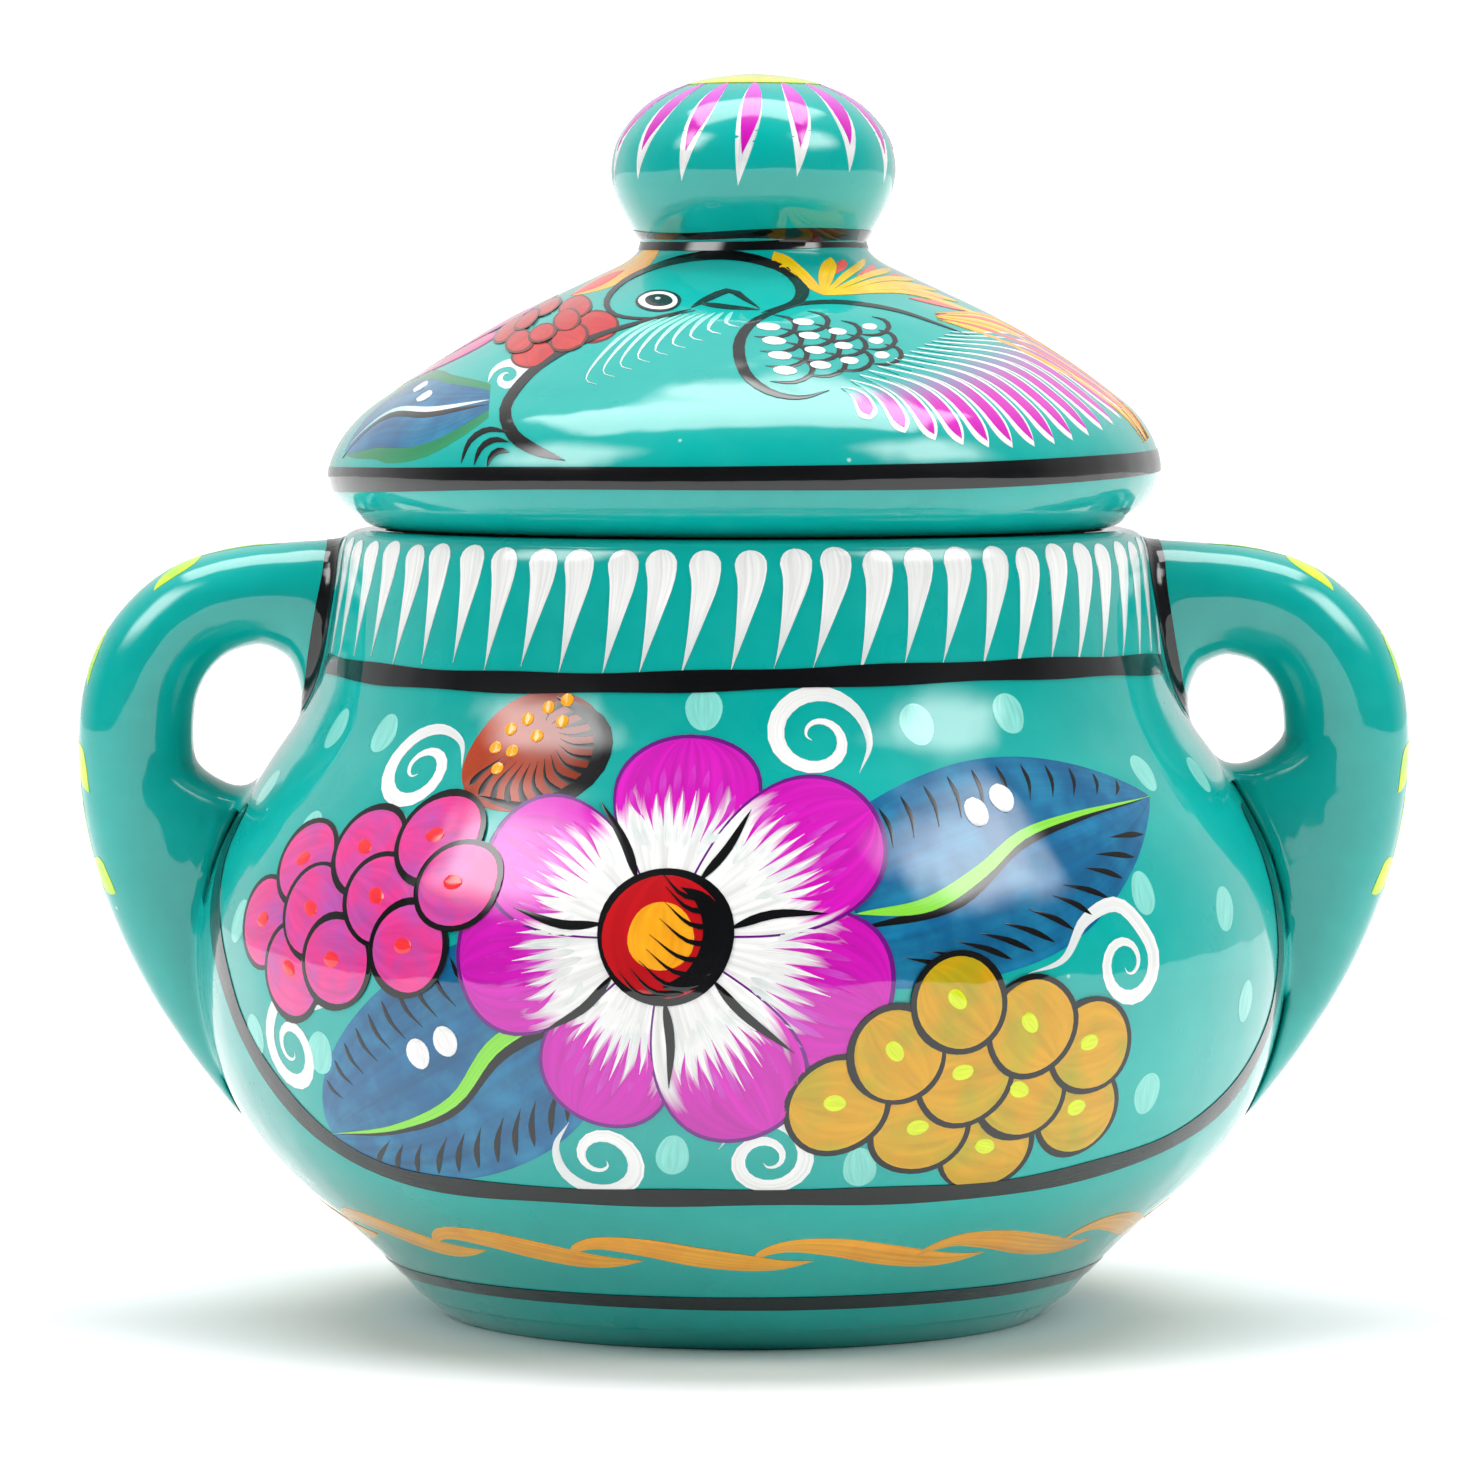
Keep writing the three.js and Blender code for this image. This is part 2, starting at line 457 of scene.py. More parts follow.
# ---- Brush widths ----
def even(wide):
    """As wide all along, with round ends and a hand's unevenness."""
    phase = hand.uniform(0, 6)

    def width(share, length):
        from_end = min(share, 1 - share) * length
        radius = wide / 2
        flat = min(from_end, radius)
        cap = math.sqrt(max(radius**2 - (radius - flat) ** 2, 0)) / radius
        return wide * cap * (1 + 0.09 * math.sin(share * length / 4 + phase))

    return width


def tapered(wide, peak, tail=1.3):
    """A pressed stroke: quickly full, then drawn out to a point."""

    def width(share, length):
        if share < peak:
            return wide * math.sin(math.pi / 2 * share / peak) ** 0.75
        return wide * max(1 - ((share - peak) / (1 - peak)) ** tail, 0)

    return width


def dropped(wide):
    """A teardrop: a round head drawn out into a long thin tail."""
    head = 0.13

    def width(share, length):
        if share < head:
            return wide * math.sqrt(1 - (1 - share / head) ** 2)
        return wide * (1 - (share - head) / (1 - head)) ** 1.25

    return width


def swelling(wide, extra):
    """A line as wide as told in its middle, and broader by extra at its round ends."""
    full = wide + extra
    broad = even(full)

    def width(share, length):
        return broad(share, length) * (wide + extra * (2 * share - 1) ** 4) / full

    return width


def leafy(wide, peak, base=0.0, blunt=0.85):
    """A leaf: as broad at its base as it is told, and blunter at its tip the lower blunt is."""

    def width(share, length):
        if share < peak:
            return wide * (base + (1 - base) * math.sin(math.pi / 2 * share / peak) ** 0.8)
        return wide * max(math.cos(math.pi / 2 * (share - peak) / (1 - peak)), 0) ** blunt

    return width


def petal_like(wide, base):
    """A petal: narrow at its base, broad and round at its tip."""
    peak = 0.62

    def width(share, length):
        if share < peak:
            rise = math.sin(math.pi / 2 * share / peak)
            return wide * (base + (1 - base) * rise)
        over = (share - peak) / (1 - peak)
        return wide * math.sqrt(max(1 - over**2.3, 0))

    return width


# ---- Motifs ----
def arc(wide, tall, angles, u=0.0, v=0.0):
    """Points on an oval round (u, v) at angles in radians. Its half axes are wide and tall."""
    return [(u + wide * math.cos(a), v + tall * math.sin(a)) for a in angles]


def spiral(turns, start, end, last, clockwise=False):
    """Points of a spiral that opens from its centre and ends at the angle last, as (u, v)."""
    points = []
    steps = math.ceil(turns * 9)
    for i in range(steps + 1):
        share = i / steps
        angle = math.radians(last) + 2 * math.pi * turns * (share - 1) * (-1 if clockwise else 1)
        reach = start + (end - start) * share**0.85
        points.append((reach * math.cos(angle), reach * math.sin(angle)))
    return points


def swirl(coat, chart, size, turns, last, clockwise=False, tail=()):
    """A white curl, with a tail that leads off if one is given."""
    points = spiral(turns, 0.6, size, last, clockwise) + list(tail)
    coat.stroke(chart, points, tapered(2.1, 0.55, 1.8), WHITE, GREY_WHITE, lift=2, step=0.9)


def flower(coats, chart, petals, reach, wide, heart):
    """Broad petals, white at the heart and magenta at the rim, round a red and orange heart."""
    for order, (direction, size) in enumerate(petals):
        petal = chart.moved(turn=direction - 90, size=size)
        layer = 2 if order == len(petals) - 1 else order % 2
        lift = 5 + 1.6 * layer
        bend = hand.uniform(-0.8, 0.8)
        spine = [(0, heart * 0.6), (bend, reach * 0.6), (0, reach - 0.1)]
        rim = [(0, heart * 0.6), (bend, reach * 0.6), (0, reach + 0.5)]
        coats["petal_edges"].stroke(petal, rim, petal_like(wide + 0.9, 0.36), PLUM, lift=lift,
                                    columns=14)
        coats["petals"].stroke(petal, spine, petal_like(wide, 0.34), WHITE, MAGENTA, lift=lift + 0.7,
                               columns=14, step=1.0)
        petal_strokes(coats, petal, reach, wide, lift + 1.4)
    directions = [direction for direction, _ in petals]
    for near, far in zip(directions, (*directions[1:], directions[0] - 360)):
        petal_gap(coats["fine_lines"], chart.moved(turn=(near + far) / 2 - 90), heart)
    flower_heart(coats, chart, heart)


def petal_strokes(coats, petal, reach, wide, lift):
    """The fine brush marks on a petal: white up into the colour, and colour down into the white."""
    for k in range(9):
        across = (k - 4) / 4
        foot = (across * wide * 0.22, reach * 0.42 + hand.uniform(-1, 1))
        far = reach * (0.74 - 0.16 * across * across) + hand.uniform(-1.5, 1.5)
        head = (across * wide * 0.37, far)
        middle = ((foot[0] + head[0]) / 2 + across * 0.5, (foot[1] + far) / 2)
        coats["petal_lights"].stroke(petal, [foot, middle, head], tapered(1.05, 0.2, 1.2), WHITE,
                                     GREY_WHITE, lift=lift, columns=2)
    for k in range(8):
        across = (k - 3.5) / 4
        foot = (across * wide * 0.42, reach * (0.86 - 0.2 * across * across))
        far = reach * 0.5 + hand.uniform(-1.5, 1.5)
        head = (across * wide * 0.27, far)
        middle = ((foot[0] + head[0]) / 2 + across * 0.6, (foot[1] + far) / 2)
        coats["petal_darks"].stroke(petal, [foot, middle, head], tapered(0.95, 0.3, 1.1), MAGENTA,
                                    ORCHID, lift=lift, columns=2)


def petal_gap(coat, chart, heart):
    """The black line between two petals."""
    bend = hand.choice((-1.2, -0.7, 0.7, 1.2))
    points = [(0, heart - 0.6), (bend * 0.9, heart + 4.5), (bend * 0.3, heart + hand.uniform(9, 13))]
    coat.stroke(chart, points, tapered(1.15, 0.3, 2.2), BLACK, lift=10.5, columns=3)


def flower_heart(coats, chart, size):
    """A red disc with an orange one on it, shaded with curved black strokes from the right."""
    coats["fine_lines"].blob(chart, 0, 0, 2 * size, 2 * size, BLACK, lift=12, uneven=0.02)
    coats["flower_hearts"].blob(chart, -0.15, 0, 1.78 * size, 1.78 * size, RED, lift=13,
                                uneven=0.02)
    coats["heart_lights"].blob(chart, -0.06 * size, 0, 0.98 * size, 0.98 * size, AMBER, ORANGE,
                               lift=14)
    shade = arc(0.74 * size, 0.74 * size, (-1.6, -1, -0.4, 0.2, 0.8, 1.3))
    coats["fine_lines"].stroke(chart, shade, tapered(0.4 * size, 0.45, 2), BLACK, lift=15, columns=4)
    for k in range(13):
        angle = math.radians(-118 + 16 * k)
        root = Vector((math.cos(angle), math.sin(angle))) * size * 0.86
        reach = size * (1.02 - 0.075 * abs(k - 6))
        tip = root + Vector((-reach, 0.34 * size))
        middle = (root + tip) / 2 + Vector((-0.03 * size, -0.16 * size))
        if tip.length < size * 0.92:
            coats["fine_lines"].stroke(chart, [root, middle, tip], tapered(0.8, 0.2, 1.0), BLACK,
                                       lift=16, columns=2)


def from_the_left(spot):
    """Sorts a cluster's fruits so that each overlaps the one on its left."""
    return spot[0]


def from_below(spot):
    """Sorts a cluster's fruits so that each overlaps those below it and to its right."""
    return spot[1] - 0.5 * spot[0]


def cluster(coats, chart, kind, size, pitch, tints, heart_tint, rows, order_of):
    """Round fruits in overlapping rows, painted in the order that order_of gives."""
    spots = [(u * pitch[0], (1 - i) * pitch[1]) for i, row in enumerate(rows) for u in row]
    for order, (u, v) in enumerate(sorted(spots, key=order_of)):
        lift = 2 + 1.3 * order
        wide, tall = size * hand.uniform(0.96, 1.08), size * hand.uniform(0.98, 1.06)
        turn = hand.uniform(50, 120)
        coats["fruit_rims"].blob(chart, u, v, wide + 1.5, tall + 1.5, BLACK, lift=lift, turn=turn,
                                 uneven=0.03)
        coats[kind].blob(chart, u, v, wide, tall, *tints, lift=lift + 0.7, turn=turn, uneven=0.03)
        coats[kind + "_dots"].blob(chart, u - 0.05 * size, v + 0.03 * size, 0.18 * size, 0.25 * size,
                                   heart_tint, lift=lift + 1.2, turn=turn, crown=0.08)


def leaf(coats, chart, vein, wide, peak=0.42, blunt=0.85, under=1):
    """A blue leaf with a lime vein, a black line beneath it and black hatching along its edges.
    The line's side is under: 1 is to the right of the vein's way and -1 to its left."""
    shape = leafy(wide, peak, 0.7, blunt)
    spine = [vein[0], (0, 0), vein[-1]]
    coats["leaves"].stroke(chart, spine, shape, BLUE, SKY_BLUE, lift=1, columns=18)
    route = Route(flowing(vein, 0.6))
    below = []
    for share in (-0.02, 0.25, 0.5, 0.75, 0.96):
        way = route.heading(max(share, 0) * route.length)
        aside = Vector((way.y, -way.x)) * 1.7 * under * (1.05 - share)
        below.append(route.at(share * route.length) + aside)
    coats["leaf_lines"].stroke(chart, below, tapered(1.5, 0.3, 1.4), BLACK, lift=3)
    coats["leaf_veins"].stroke(chart, vein, tapered(1.9, 0.25, 1.1), LIME, lift=3.6)
    route = Route(flowing(spine, 0.6))
    for side, long, slant, thick in ((1, 0.42, 0.03, 0.6), (-1, 0.34, 0.12, 0.8)):
        for k in range(11):
            share = 0.2 + 0.07 * k
            way = route.heading(share * route.length)
            out = Vector((-way.y, way.x)) * side * under
            edge = shape(share, route.length) / 2
            foot = route.at(share * route.length) + out * edge * 0.9
            tip = foot - out * edge * long - way * route.length * slant * hand.uniform(0.8, 1.15)
            middle = (foot + tip) / 2 + way * 0.5
            coats["leaf_lines"].stroke(chart, [foot, middle, tip], tapered(thick, 0.4, 1.2), BLACK,
                                       lift=2.4, columns=2)


def dew(coat, chart, spots):
    """Thick white dots."""
    for u, v in spots:
        coat.blob(chart, u, v, 3.3, 3.9, WHITE, lift=5, turn=hand.uniform(-25, 25), crown=0.22)


def bud(coats, chart, size):
    """A rust-coloured bud with orange dots, shaded by black strokes on its far side."""
    coats["buds"].blob(chart, 0, 0, size * 0.98, size * 1.2, RUST, UMBER, lift=1.4, turn=-62,
                       uneven=0.03)
    edge = arc(0.6 * size, 0.49 * size, (-2.2, -1.3, -0.4, 0.5, 1.4))
    coats["fine_lines"].stroke(chart, edge, tapered(2.4, 0.65, 2), BLACK, lift=2.2, columns=3)
    for k in range(15):
        angle = math.radians(-140 + 15 * k)
        root = Vector((0.59 * math.cos(angle), 0.48 * math.sin(angle))) * size
        tip = root * 0.4 + Vector((-0.02, 0.1)) * size
        middle = (root + tip) / 2 + Vector((-0.06, -0.03)) * size
        coats["fine_lines"].stroke(chart, [root, middle, tip], tapered(0.95, 0.15, 1.0), BLACK,
                                   lift=2, columns=2)
    for u, v in ((-5.2, 0.6), (-3.7, 3.2), (-2.7, 0.2), (-4.0, -2.4), (-1.6, 4.6), (0.2, 2.4),
                 (1.0, 6.2), (3.4, 7.2), (3.2, 4.4)):
        coats["bud_dots"].blob(chart, u * size / 16, v * size / 16, 1.7, 1.7, AMBER, lift=4,
                               crown=0.12)


def fringe(coat):
    """White teardrops hung from the rim all the way round."""
    belt = Belt(pot_skin)
    top = pot_skin.length_at(100.7)
    shape = ((0.0, 0), (0.1, 0.22), (-0.22, 0.5), (-0.66, 0.8), (-1.0, 1))
    count = 61
    for k in range(count):
        angle = 360 * k / count + hand.uniform(-0.5, 0.5)
        drop = hand.uniform(14.6, 16.2)
        head = top - hand.uniform(0, 0.5)
        lean = 2.6 + 1.7 * math.sin(math.radians(angle)) + hand.uniform(-0.5, 0.5)
        points = [(angle + 0.8 + u * lean, head - v * drop) for u, v in shape]
        coat.stroke(belt, points, dropped(4.0), WHITE, GREY_WHITE, lift=3, crown=0.05)


def chain(coat):
    """Overlapping orange S strokes round the foot of the pot."""
    belt = Belt(pot_skin)
    middle = pot_skin.length_at(14)
    shape = ((0, -1.6), (1.8, 0.3), (5, 1.6), (11, 1.3), (18, -0.6), (25, -2.2), (29.5, -2.4),
             (33.5, -1.8))
    count = 15
    for k in range(count):
        start = 360 * k / count + 0.5 + hand.uniform(-1, 1)
        points = [(start + u, middle + v + hand.uniform(-0.15, 0.15)) for u, v in shape]
        coat.stroke(belt, points, tapered(4.3, 0.5, 2.2), AMBER, ORANGE, lift=1.5 + 0.6 * (k % 3))


def panel_lines(coat, facing):
    """The black line that frames one painted side, and the line under the rim."""
    belt = Belt(pot_skin)
    frame_line = ((-81, 66.5), (-78.6, 60.5), (-75.6, 55.5), (-72, 50.5), (-68.3, 45.5), (-65, 40),
                  (-60, 33.6), (-52, 26.6), (-42.5, 22.9), (-22, 21.8), (0, 22), (30, 22.2), (43, 23.7),
                  (56, 26.5), (67, 31.6), (73, 38), (76, 45.5), (77.6, 53), (79, 60), (81.2, 66.5))
    points = [(facing + angle, pot_skin.length_at(height)) for angle, height in frame_line]
    coat.stroke(belt, points, swelling(2.9, 2.5), BLACK, lift=4)
    neck = [(facing + 6 * k, pot_skin.length_at(84.6 + 0.7 * math.sin(k / 4))) for k in range(-13, 14)]
    coat.stroke(belt, neck, even(2.6), BLACK, lift=5)


def pot_panel(coats, facing):
    """One painted side of the pot."""
    def chart(angle, height, turn=0.0):
        return Chart(pot_skin, facing + angle, pot_skin.length_at(height)).moved(turn=turn)

    panel_lines(coats["frame_lines"], facing)
    right_leaf = chart(28, 63)
    right_vein = [(-20, -6.5), (-11, -5.6), (-3, -1.6), (4, 3), (13, 5.4), (28, 7.2)]
    leaf(coats, right_leaf, right_vein, 27)
    dew(coats["dew"], right_leaf, [(-1.5, 6.4), (2.6, 8.2)])
    left_leaf = chart(-36, 34)
    left_vein = [(23, 12), (13, 7), (6, -0.5), (-4, -4.8), (-17, -7)]
    leaf(coats, left_leaf, left_vein, 28, peak=0.36, blunt=0.48, under=-1)
    dew(coats["dew"], left_leaf, [(1.6, 5.2), (5.8, 7)])
    bud(coats, chart(-26.5, 75.5), 16)
    cluster(coats, chart(-43.6, 57, 11), "pink_fruit", 10.8, (11.0, 6.9), (PINK, MAUVE), SCARLET,
            ((-1.0, 0.05, 1.05), (-1.7, -0.72, 0.35, 1.4), (-1.15, -0.35, 0.75)), from_the_left)
    cluster(coats, chart(25.6, 36.0, -18), "gold_fruit", 11.3, (10.0, 8.2), (GOLD, OLIVE), LEMON,
            ((-0.75, 0.3, 1.25), (-1.3, -0.35, 0.5, 1.45), (-1.75, -0.6, 0.4)), from_below)
    petals = ((87, 0.93), (34, 1.02), (-20, 1.0), (-63, 0.94), (-116, 0.87), (-170, 0.94),
              (-210, 0.9))
    flower(coats, chart(-7.8, 54.4), petals, 28.5, 18.8, 8.4)
    swirls = coats["swirls"]
    swirl(swirls, chart(-41.6, 73), 6.6, 1.75, 5, clockwise=True)
    swirl(swirls, chart(8.9, 77.6), 7.0, 1.7, -45, clockwise=True)
    swirl(swirls, chart(-54, 38), 5.2, 1.5, 150, clockwise=True,
          tail=[(-0.8, 6.6), (4.5, 5.6), (10, 6.4)])
    swirl(swirls, chart(-15.2, 26.8), 6.2, 1.6, 125, clockwise=True)
    swirl(swirls, chart(2.4, 27), 6.0, 1.8, 165)
    swirl(swirls, chart(42.2, 49.6), 5.2, 1.5, 50,
          tail=[(-0.5, 7.4), (-6.3, 5.6), (-10.2, 1.1), (-15.5, -0.4)])
    for angle, height in ((-63, 77), (-51, 77), (-74, 69), (-56, 65), (-65, 53), (-61.5, 39), (-49, 38),
                          (-5, 81), (22, 79), (35.5, 80), (55, 72), (69, 71), (46, 58), (60, 55),
                          (64, 43), (47, 33), (-7.5, 27.5), (12.5, 25.8)):
        coats["pale_dots"].blob(chart(angle, height), 0, 0, hand.uniform(3.9, 5.0),
                                hand.uniform(4.6, 6.0), PALE, lift=1, turn=hand.uniform(-30, 15))


# ---- The lid's painting ----
def bird(coats, chart):
    """A simple folk bird: a round head tucked to one side, a full breast and an open wing."""
    lines = coats["lid_lines"]
    head = [(-7.5, 43.6), (-13.1, 41.4), (-18.5, 42.4), (-20.4, 46.3), (-18.6, 52.3), (-12.7, 57.2),
            (-5.5, 59.2), (0.1, 58.4), (4.3, 55.2), (6.2, 49.8), (5.2, 45.8), (0.9, 43)]
    lines.stroke(chart, head, tapered(1.9, 0.8, 3), BLACK, lift=3, columns=3)
    breast = [(-8, 44), (-14, 40.8), (-20.1, 37.4), (-26.2, 33), (-30.6, 27.8), (-32.9, 20.8),
              (-31, 16.6), (-27.8, 14.6), (-22.9, 13)]
    lines.stroke(chart, breast, tapered(1.9, 0.75, 3), BLACK, lift=3, columns=3)
    beak(lines, chart)
    eye(coats, chart.moved(-12.5, 46.4, -22))
    for k in range(9):
        root = (-11.5 + 1.1 * k, 42.4 + 0.1 * k)
        drop, swing = 15.5 - 1.55 * k, 10 - 1.15 * k
        tip = (root[0] - swing, root[1] - drop)
        curl = (tip[0] + 1.6, tip[1] - 0.9)
        middle = (root[0] - swing * 0.62, root[1] - drop * 0.4)
        coats["down"].stroke(chart, [root, middle, tip, curl], tapered(0.7, 0.3, 1.2), PALE, WHITE,
                             lift=2, columns=2)
    wing(coats, chart)
    crest(coats, chart)
    claw = ((0, 0), (1, 3.1), (3.5, 4.7), (7, 4.3))
    for u, v, size in ((-38.5, 12.5, 1.0), (-36.3, 12.3, 0.72), (-34.2, 12.1, 0.45)):
        points = [(u + right * size, v + up * size) for right, up in claw]
        lines.stroke(chart, points, tapered(0.9, 0.5, 2), BLACK, lift=3, columns=2)


def beak(coat, chart):
    """An open beak, as two dark strokes that meet at a point."""
    upper = [(-8, 44.4), (-5.7, 47.2), (-3, 49.4), (-1.2, 47), (0.7, 44.2)]
    lower = [(-6.8, 45.6), (-3.4, 44.6), (0.7, 43.8)]
    coat.stroke(chart, upper, tapered(1.3, 0.35, 2), BLACK, lift=3.6, columns=3)
    coat.stroke(chart, lower, tapered(1.2, 0.3, 2), BLACK, lift=3.6, columns=3)


def eye(coats, chart):
    """A round white eye with a dark pupil."""
    coats["lid_lines"].blob(chart, 0, 0, 6.6, 6.2, BLACK, lift=3)
    coats["lid_dots"].blob(chart, 0, 0, 5.6, 5.2, WHITE, lift=4)
    coats["lid_lines"].blob(chart, 0.1, 0, 3.8, 3.6, BLACK, lift=5)
    coats["lid_dots"].blob(chart, -0.2, 0.4, 0.8, 0.8, GREY_WHITE, lift=6)


def wing(coats, chart):
    """A wing of round scales with a white dot on each, and long feathers that fan out from it."""
    lines = coats["lid_lines"]
    front = [(7, 46), (2.8, 43.4), (0, 40.6), (-1.7, 36.5), (-1.8, 32), (-0.6, 27.6), (2.4, 24.3),
             (6, 23.3), (9.5, 24.8)]
    lines.stroke(chart, front, tapered(1.5, 0.5, 2.5), BLACK, lift=3)
    top = [(0.9, 43), (5.6, 45.4), (10, 46.1), (15, 45.2), (20, 43.3), (25, 40.4), (31, 37)]
    lines.stroke(chart, top, tapered(1.1, 0.3, 2), BLACK, lift=3, columns=3)
    for rank in range(5):
        for row in range(5 - rank // 2):
            u = 1.8 + 4.4 * rank + 0.7 * row
            v = 39.5 - 3.4 * row + (1.8 if rank % 2 else 0) - 0.6 * rank
            if v > 46 - 0.12 * (u - 9) ** 2 or v < 25 + 0.35 * u:
                continue
            reach = 3.5 - 0.22 * rank
            edge = arc(reach, 0.85 * reach, (-2.1, -1.2, -0.3, 0.6, 1.4), u, v)
            lines.stroke(chart, edge, tapered(0.75, 0.5, 2.5), BLACK, lift=2.4, columns=2)
            coats["lid_dots"].blob(chart, u, v - 0.2, 1.8 - 0.1 * rank, 3.0 - 0.3 * rank, WHITE, lift=3,
                                   turn=78, crown=0.1)
    count = 15
    for k in range(count):
        share = k / (count - 1)
        root = (11 + 16.5 * share, 25.5 + 12.5 * share**0.8)
        tip = (15 + 53 * share**0.92, 19 - 4.5 * math.sin(math.pi * share**0.7) + 1.5 * share**3)
        middle = (root[0] * 0.45 + tip[0] * 0.55, root[1] * 0.5 + tip[1] * 0.5 + 1.6 + 4.2 * share)
        wide = 2.7 - 0.5 * share
        coats["feathers"].stroke(chart, [root, middle, tip], tapered(wide, 0.8, 2.6), WHITE, lift=2,
                                 columns=4)
        inner = [(root[0], root[1] - 0.2), (middle[0], middle[1] - 0.1), (tip[0] - 0.2, tip[1] + 0.8)]
        coats["feather_hearts"].stroke(chart, inner, tapered(wide * 0.66, 0.78, 2.4), TURQUOISE,
                                       MAGENTA, lift=2.9, columns=3)


def crest(coats, chart):
    """Yellow strokes that spring from behind the head, some with a coral middle, and a long tail."""
    root = (9.0, 48.0)
    tips = ((2.6, 59.8, 3.0), (10.5, 58.8, 2.4), (17.5, 58.6, 1.5), (23.5, 56, 1.5), (28.5, 52.8, 1.4),
            (32.5, 49.4, 1.4), (35.5, 46, 1.4), (38, 42.2, 1.3))
    for k, (u, v, wide) in enumerate(tips):
        middle = ((root[0] + u) / 2 - 0.2 * k, (root[1] + v) / 2 + 0.55 * k)
        coats["crest"].stroke(chart, [root, middle, (u, v)], tapered(wide, 0.72, 3), YELLOW, AMBER,
                              lift=3, columns=3)
    for (u, v, _), (past_u, past_v, _) in zip(tips[2:], tips[1:]):
        tip = ((u + past_u) / 2 - 1.2, (v + past_v) / 2 - 0.4)
        middle = (root[0] * 0.5 + tip[0] * 0.5, root[1] * 0.5 + tip[1] * 0.5 + 1.3)
        coats["crest_hearts"].stroke(chart, [middle, tip], tapered(1.7, 0.7, 3), CORAL, lift=2.6,
                                     columns=3)
    tail = [(26, 42), (38, 39.5), (51, 33), (63, 23), (70, 15)]
    coats["tail"].stroke(chart, tail, leafy(10, 0.5), YELLOW, LEMON, lift=1.6, columns=8)
    for k in range(5):
        lag = 2.1 * (k - 2)
        points = []
        for i, (u, v) in enumerate(tail):
            points.append((u + 0.5 * lag * (i > 0), v + 0.8 * lag * math.sin(0.25 + 0.7 * i)))
        tint = CORAL if k in (1, 3) else AMBER
        coats["crest"].stroke(chart, points, tapered(1.1, 0.5, 2), tint, lift=3, columns=3)


def rose(coats, chart):
    """A red rose of many dark-rimmed petals."""
    for order in range(11):
        angle = math.radians(137.5 * order)
        reach = 7.6 * math.sqrt(1 - order / 11)
        u, v = reach * math.cos(angle) * 1.35, reach * math.sin(angle)
        wide, tall = 8.6 - 0.3 * order, 7.2 - 0.25 * order
        turn = math.degrees(angle) - 90
        coats["lid_lines"].blob(chart, u, v, wide, tall, UMBER, lift=1 + 0.8 * order, turn=turn)
        coats["roses"].blob(chart, u, v, wide - 0.9, tall - 0.9, RED, ROSE,
                            lift=1.5 + 0.8 * order, turn=turn)


def lid_leaf(coats, chart, vein, wide):
    """A leaf with a green border, a blue middle and a pale vein with a black line beneath it."""
    coats["lid_leaves"].stroke(chart, vein, leafy(wide + 4, 0.5, 0.4), GREEN, lift=1, columns=14)
    coats["lid_leaf_hearts"].stroke(chart, vein, leafy(wide, 0.5, 0.3), BLUE, SKY_BLUE, lift=1.7,
                                    columns=12)
    below = [(u, v - 0.9) for u, v in vein]
    coats["lid_lines"].stroke(chart, below, tapered(1.2, 0.4), BLACK, lift=2.4, columns=3)
    coats["down"].stroke(chart, vein, tapered(1.0, 0.4), WHITE, PALE, lift=3, columns=3)


def lid_bloom(coats, chart, reach):
    """A flower that opens towards the knob: pink petals that are pale at their foot."""
    wide = 0.42 * reach
    for k in range(5):
        petal = chart.moved(turn=-62 + 31 * k)
        lift = 1 + 2 * (k % 2)
        coats["lid_lines"].stroke(petal, [(0, 2), (0.4, reach * 0.6), (0, reach + 0.6)],
                                  petal_like(wide + 1.2, 0.35), PLUM, lift=lift, columns=12)
        coats["lid_blooms"].stroke(petal, [(0, 2.5), (0.4, reach * 0.6), (0, reach)],
                                   petal_like(wide, 0.3), WHITE, PINK, lift=lift + 1, columns=12)
    coats["crest"].blob(chart, 0, 0, 8, 6.5, AMBER, ORANGE, lift=4)


def lid_painting(coats):
    """The lid's whole top: the bird in front, flowers and leaves round the back."""
    front = Chart(lid_skin, 0, 0)
    belt = Belt(lid_skin)
    rim_line = [(30 * k, 10.9 + 1.3 * math.sin(math.radians(30 * k)) ** 3) for k in range(12)]
    closed_band(coats["lid_lines"], belt, rim_line, 3.0)
    neck = lid_skin.length_at(138.4) + 0.3
    neck_line = [(30 * k, neck + 0.3 * math.sin(k)) for k in range(12)]
    closed_band(coats["lid_lines"], belt, neck_line, 3.0)
    bird(coats, front)
    rose(coats, front.moved(-31.5, 39.5))
    lid_leaf(coats, front, [(-36, 22.5), (-46, 20.5), (-57, 20), (-69, 13.5)], 12.5)
    for u, v in ((-53.5, 25), (-50, 23)):
        coats["lid_dots"].blob(front, u, v, 1.9, 3.4, WHITE, lift=5, turn=-60, crown=0.15)
    swirl(coats["lid_swirls"], front.moved(-34, 27.6), 3.6, 1.3, 200)
    knob_side_petal = [(-14, 61), (-20.5, 55.5), (-29.5, 48)]
    coats["crest"].stroke(front, knob_side_petal, leafy(7.5, 0.5), AMBER, YELLOW, lift=1, columns=5)
    coats["crest_hearts"].stroke(front, knob_side_petal[1:], tapered(3.4, 0.5), SCARLET, lift=2)
    lid_bloom(coats, Chart(lid_skin, -97, 26), 21)
    lid_bloom(coats, Chart(lid_skin, 165, 20), 30)
    for angle in (112, -142):
        lid_leaf(coats, Chart(lid_skin, angle, 23).moved(turn=-10), [(-13, 0), (0, 2.5), (14, 0)], 11)
    for angle in (133, -165, -120):
        swirl(coats["lid_swirls"], Chart(lid_skin, angle, 36), 4.2, 1.6, 30)
    knob_painting(coats)


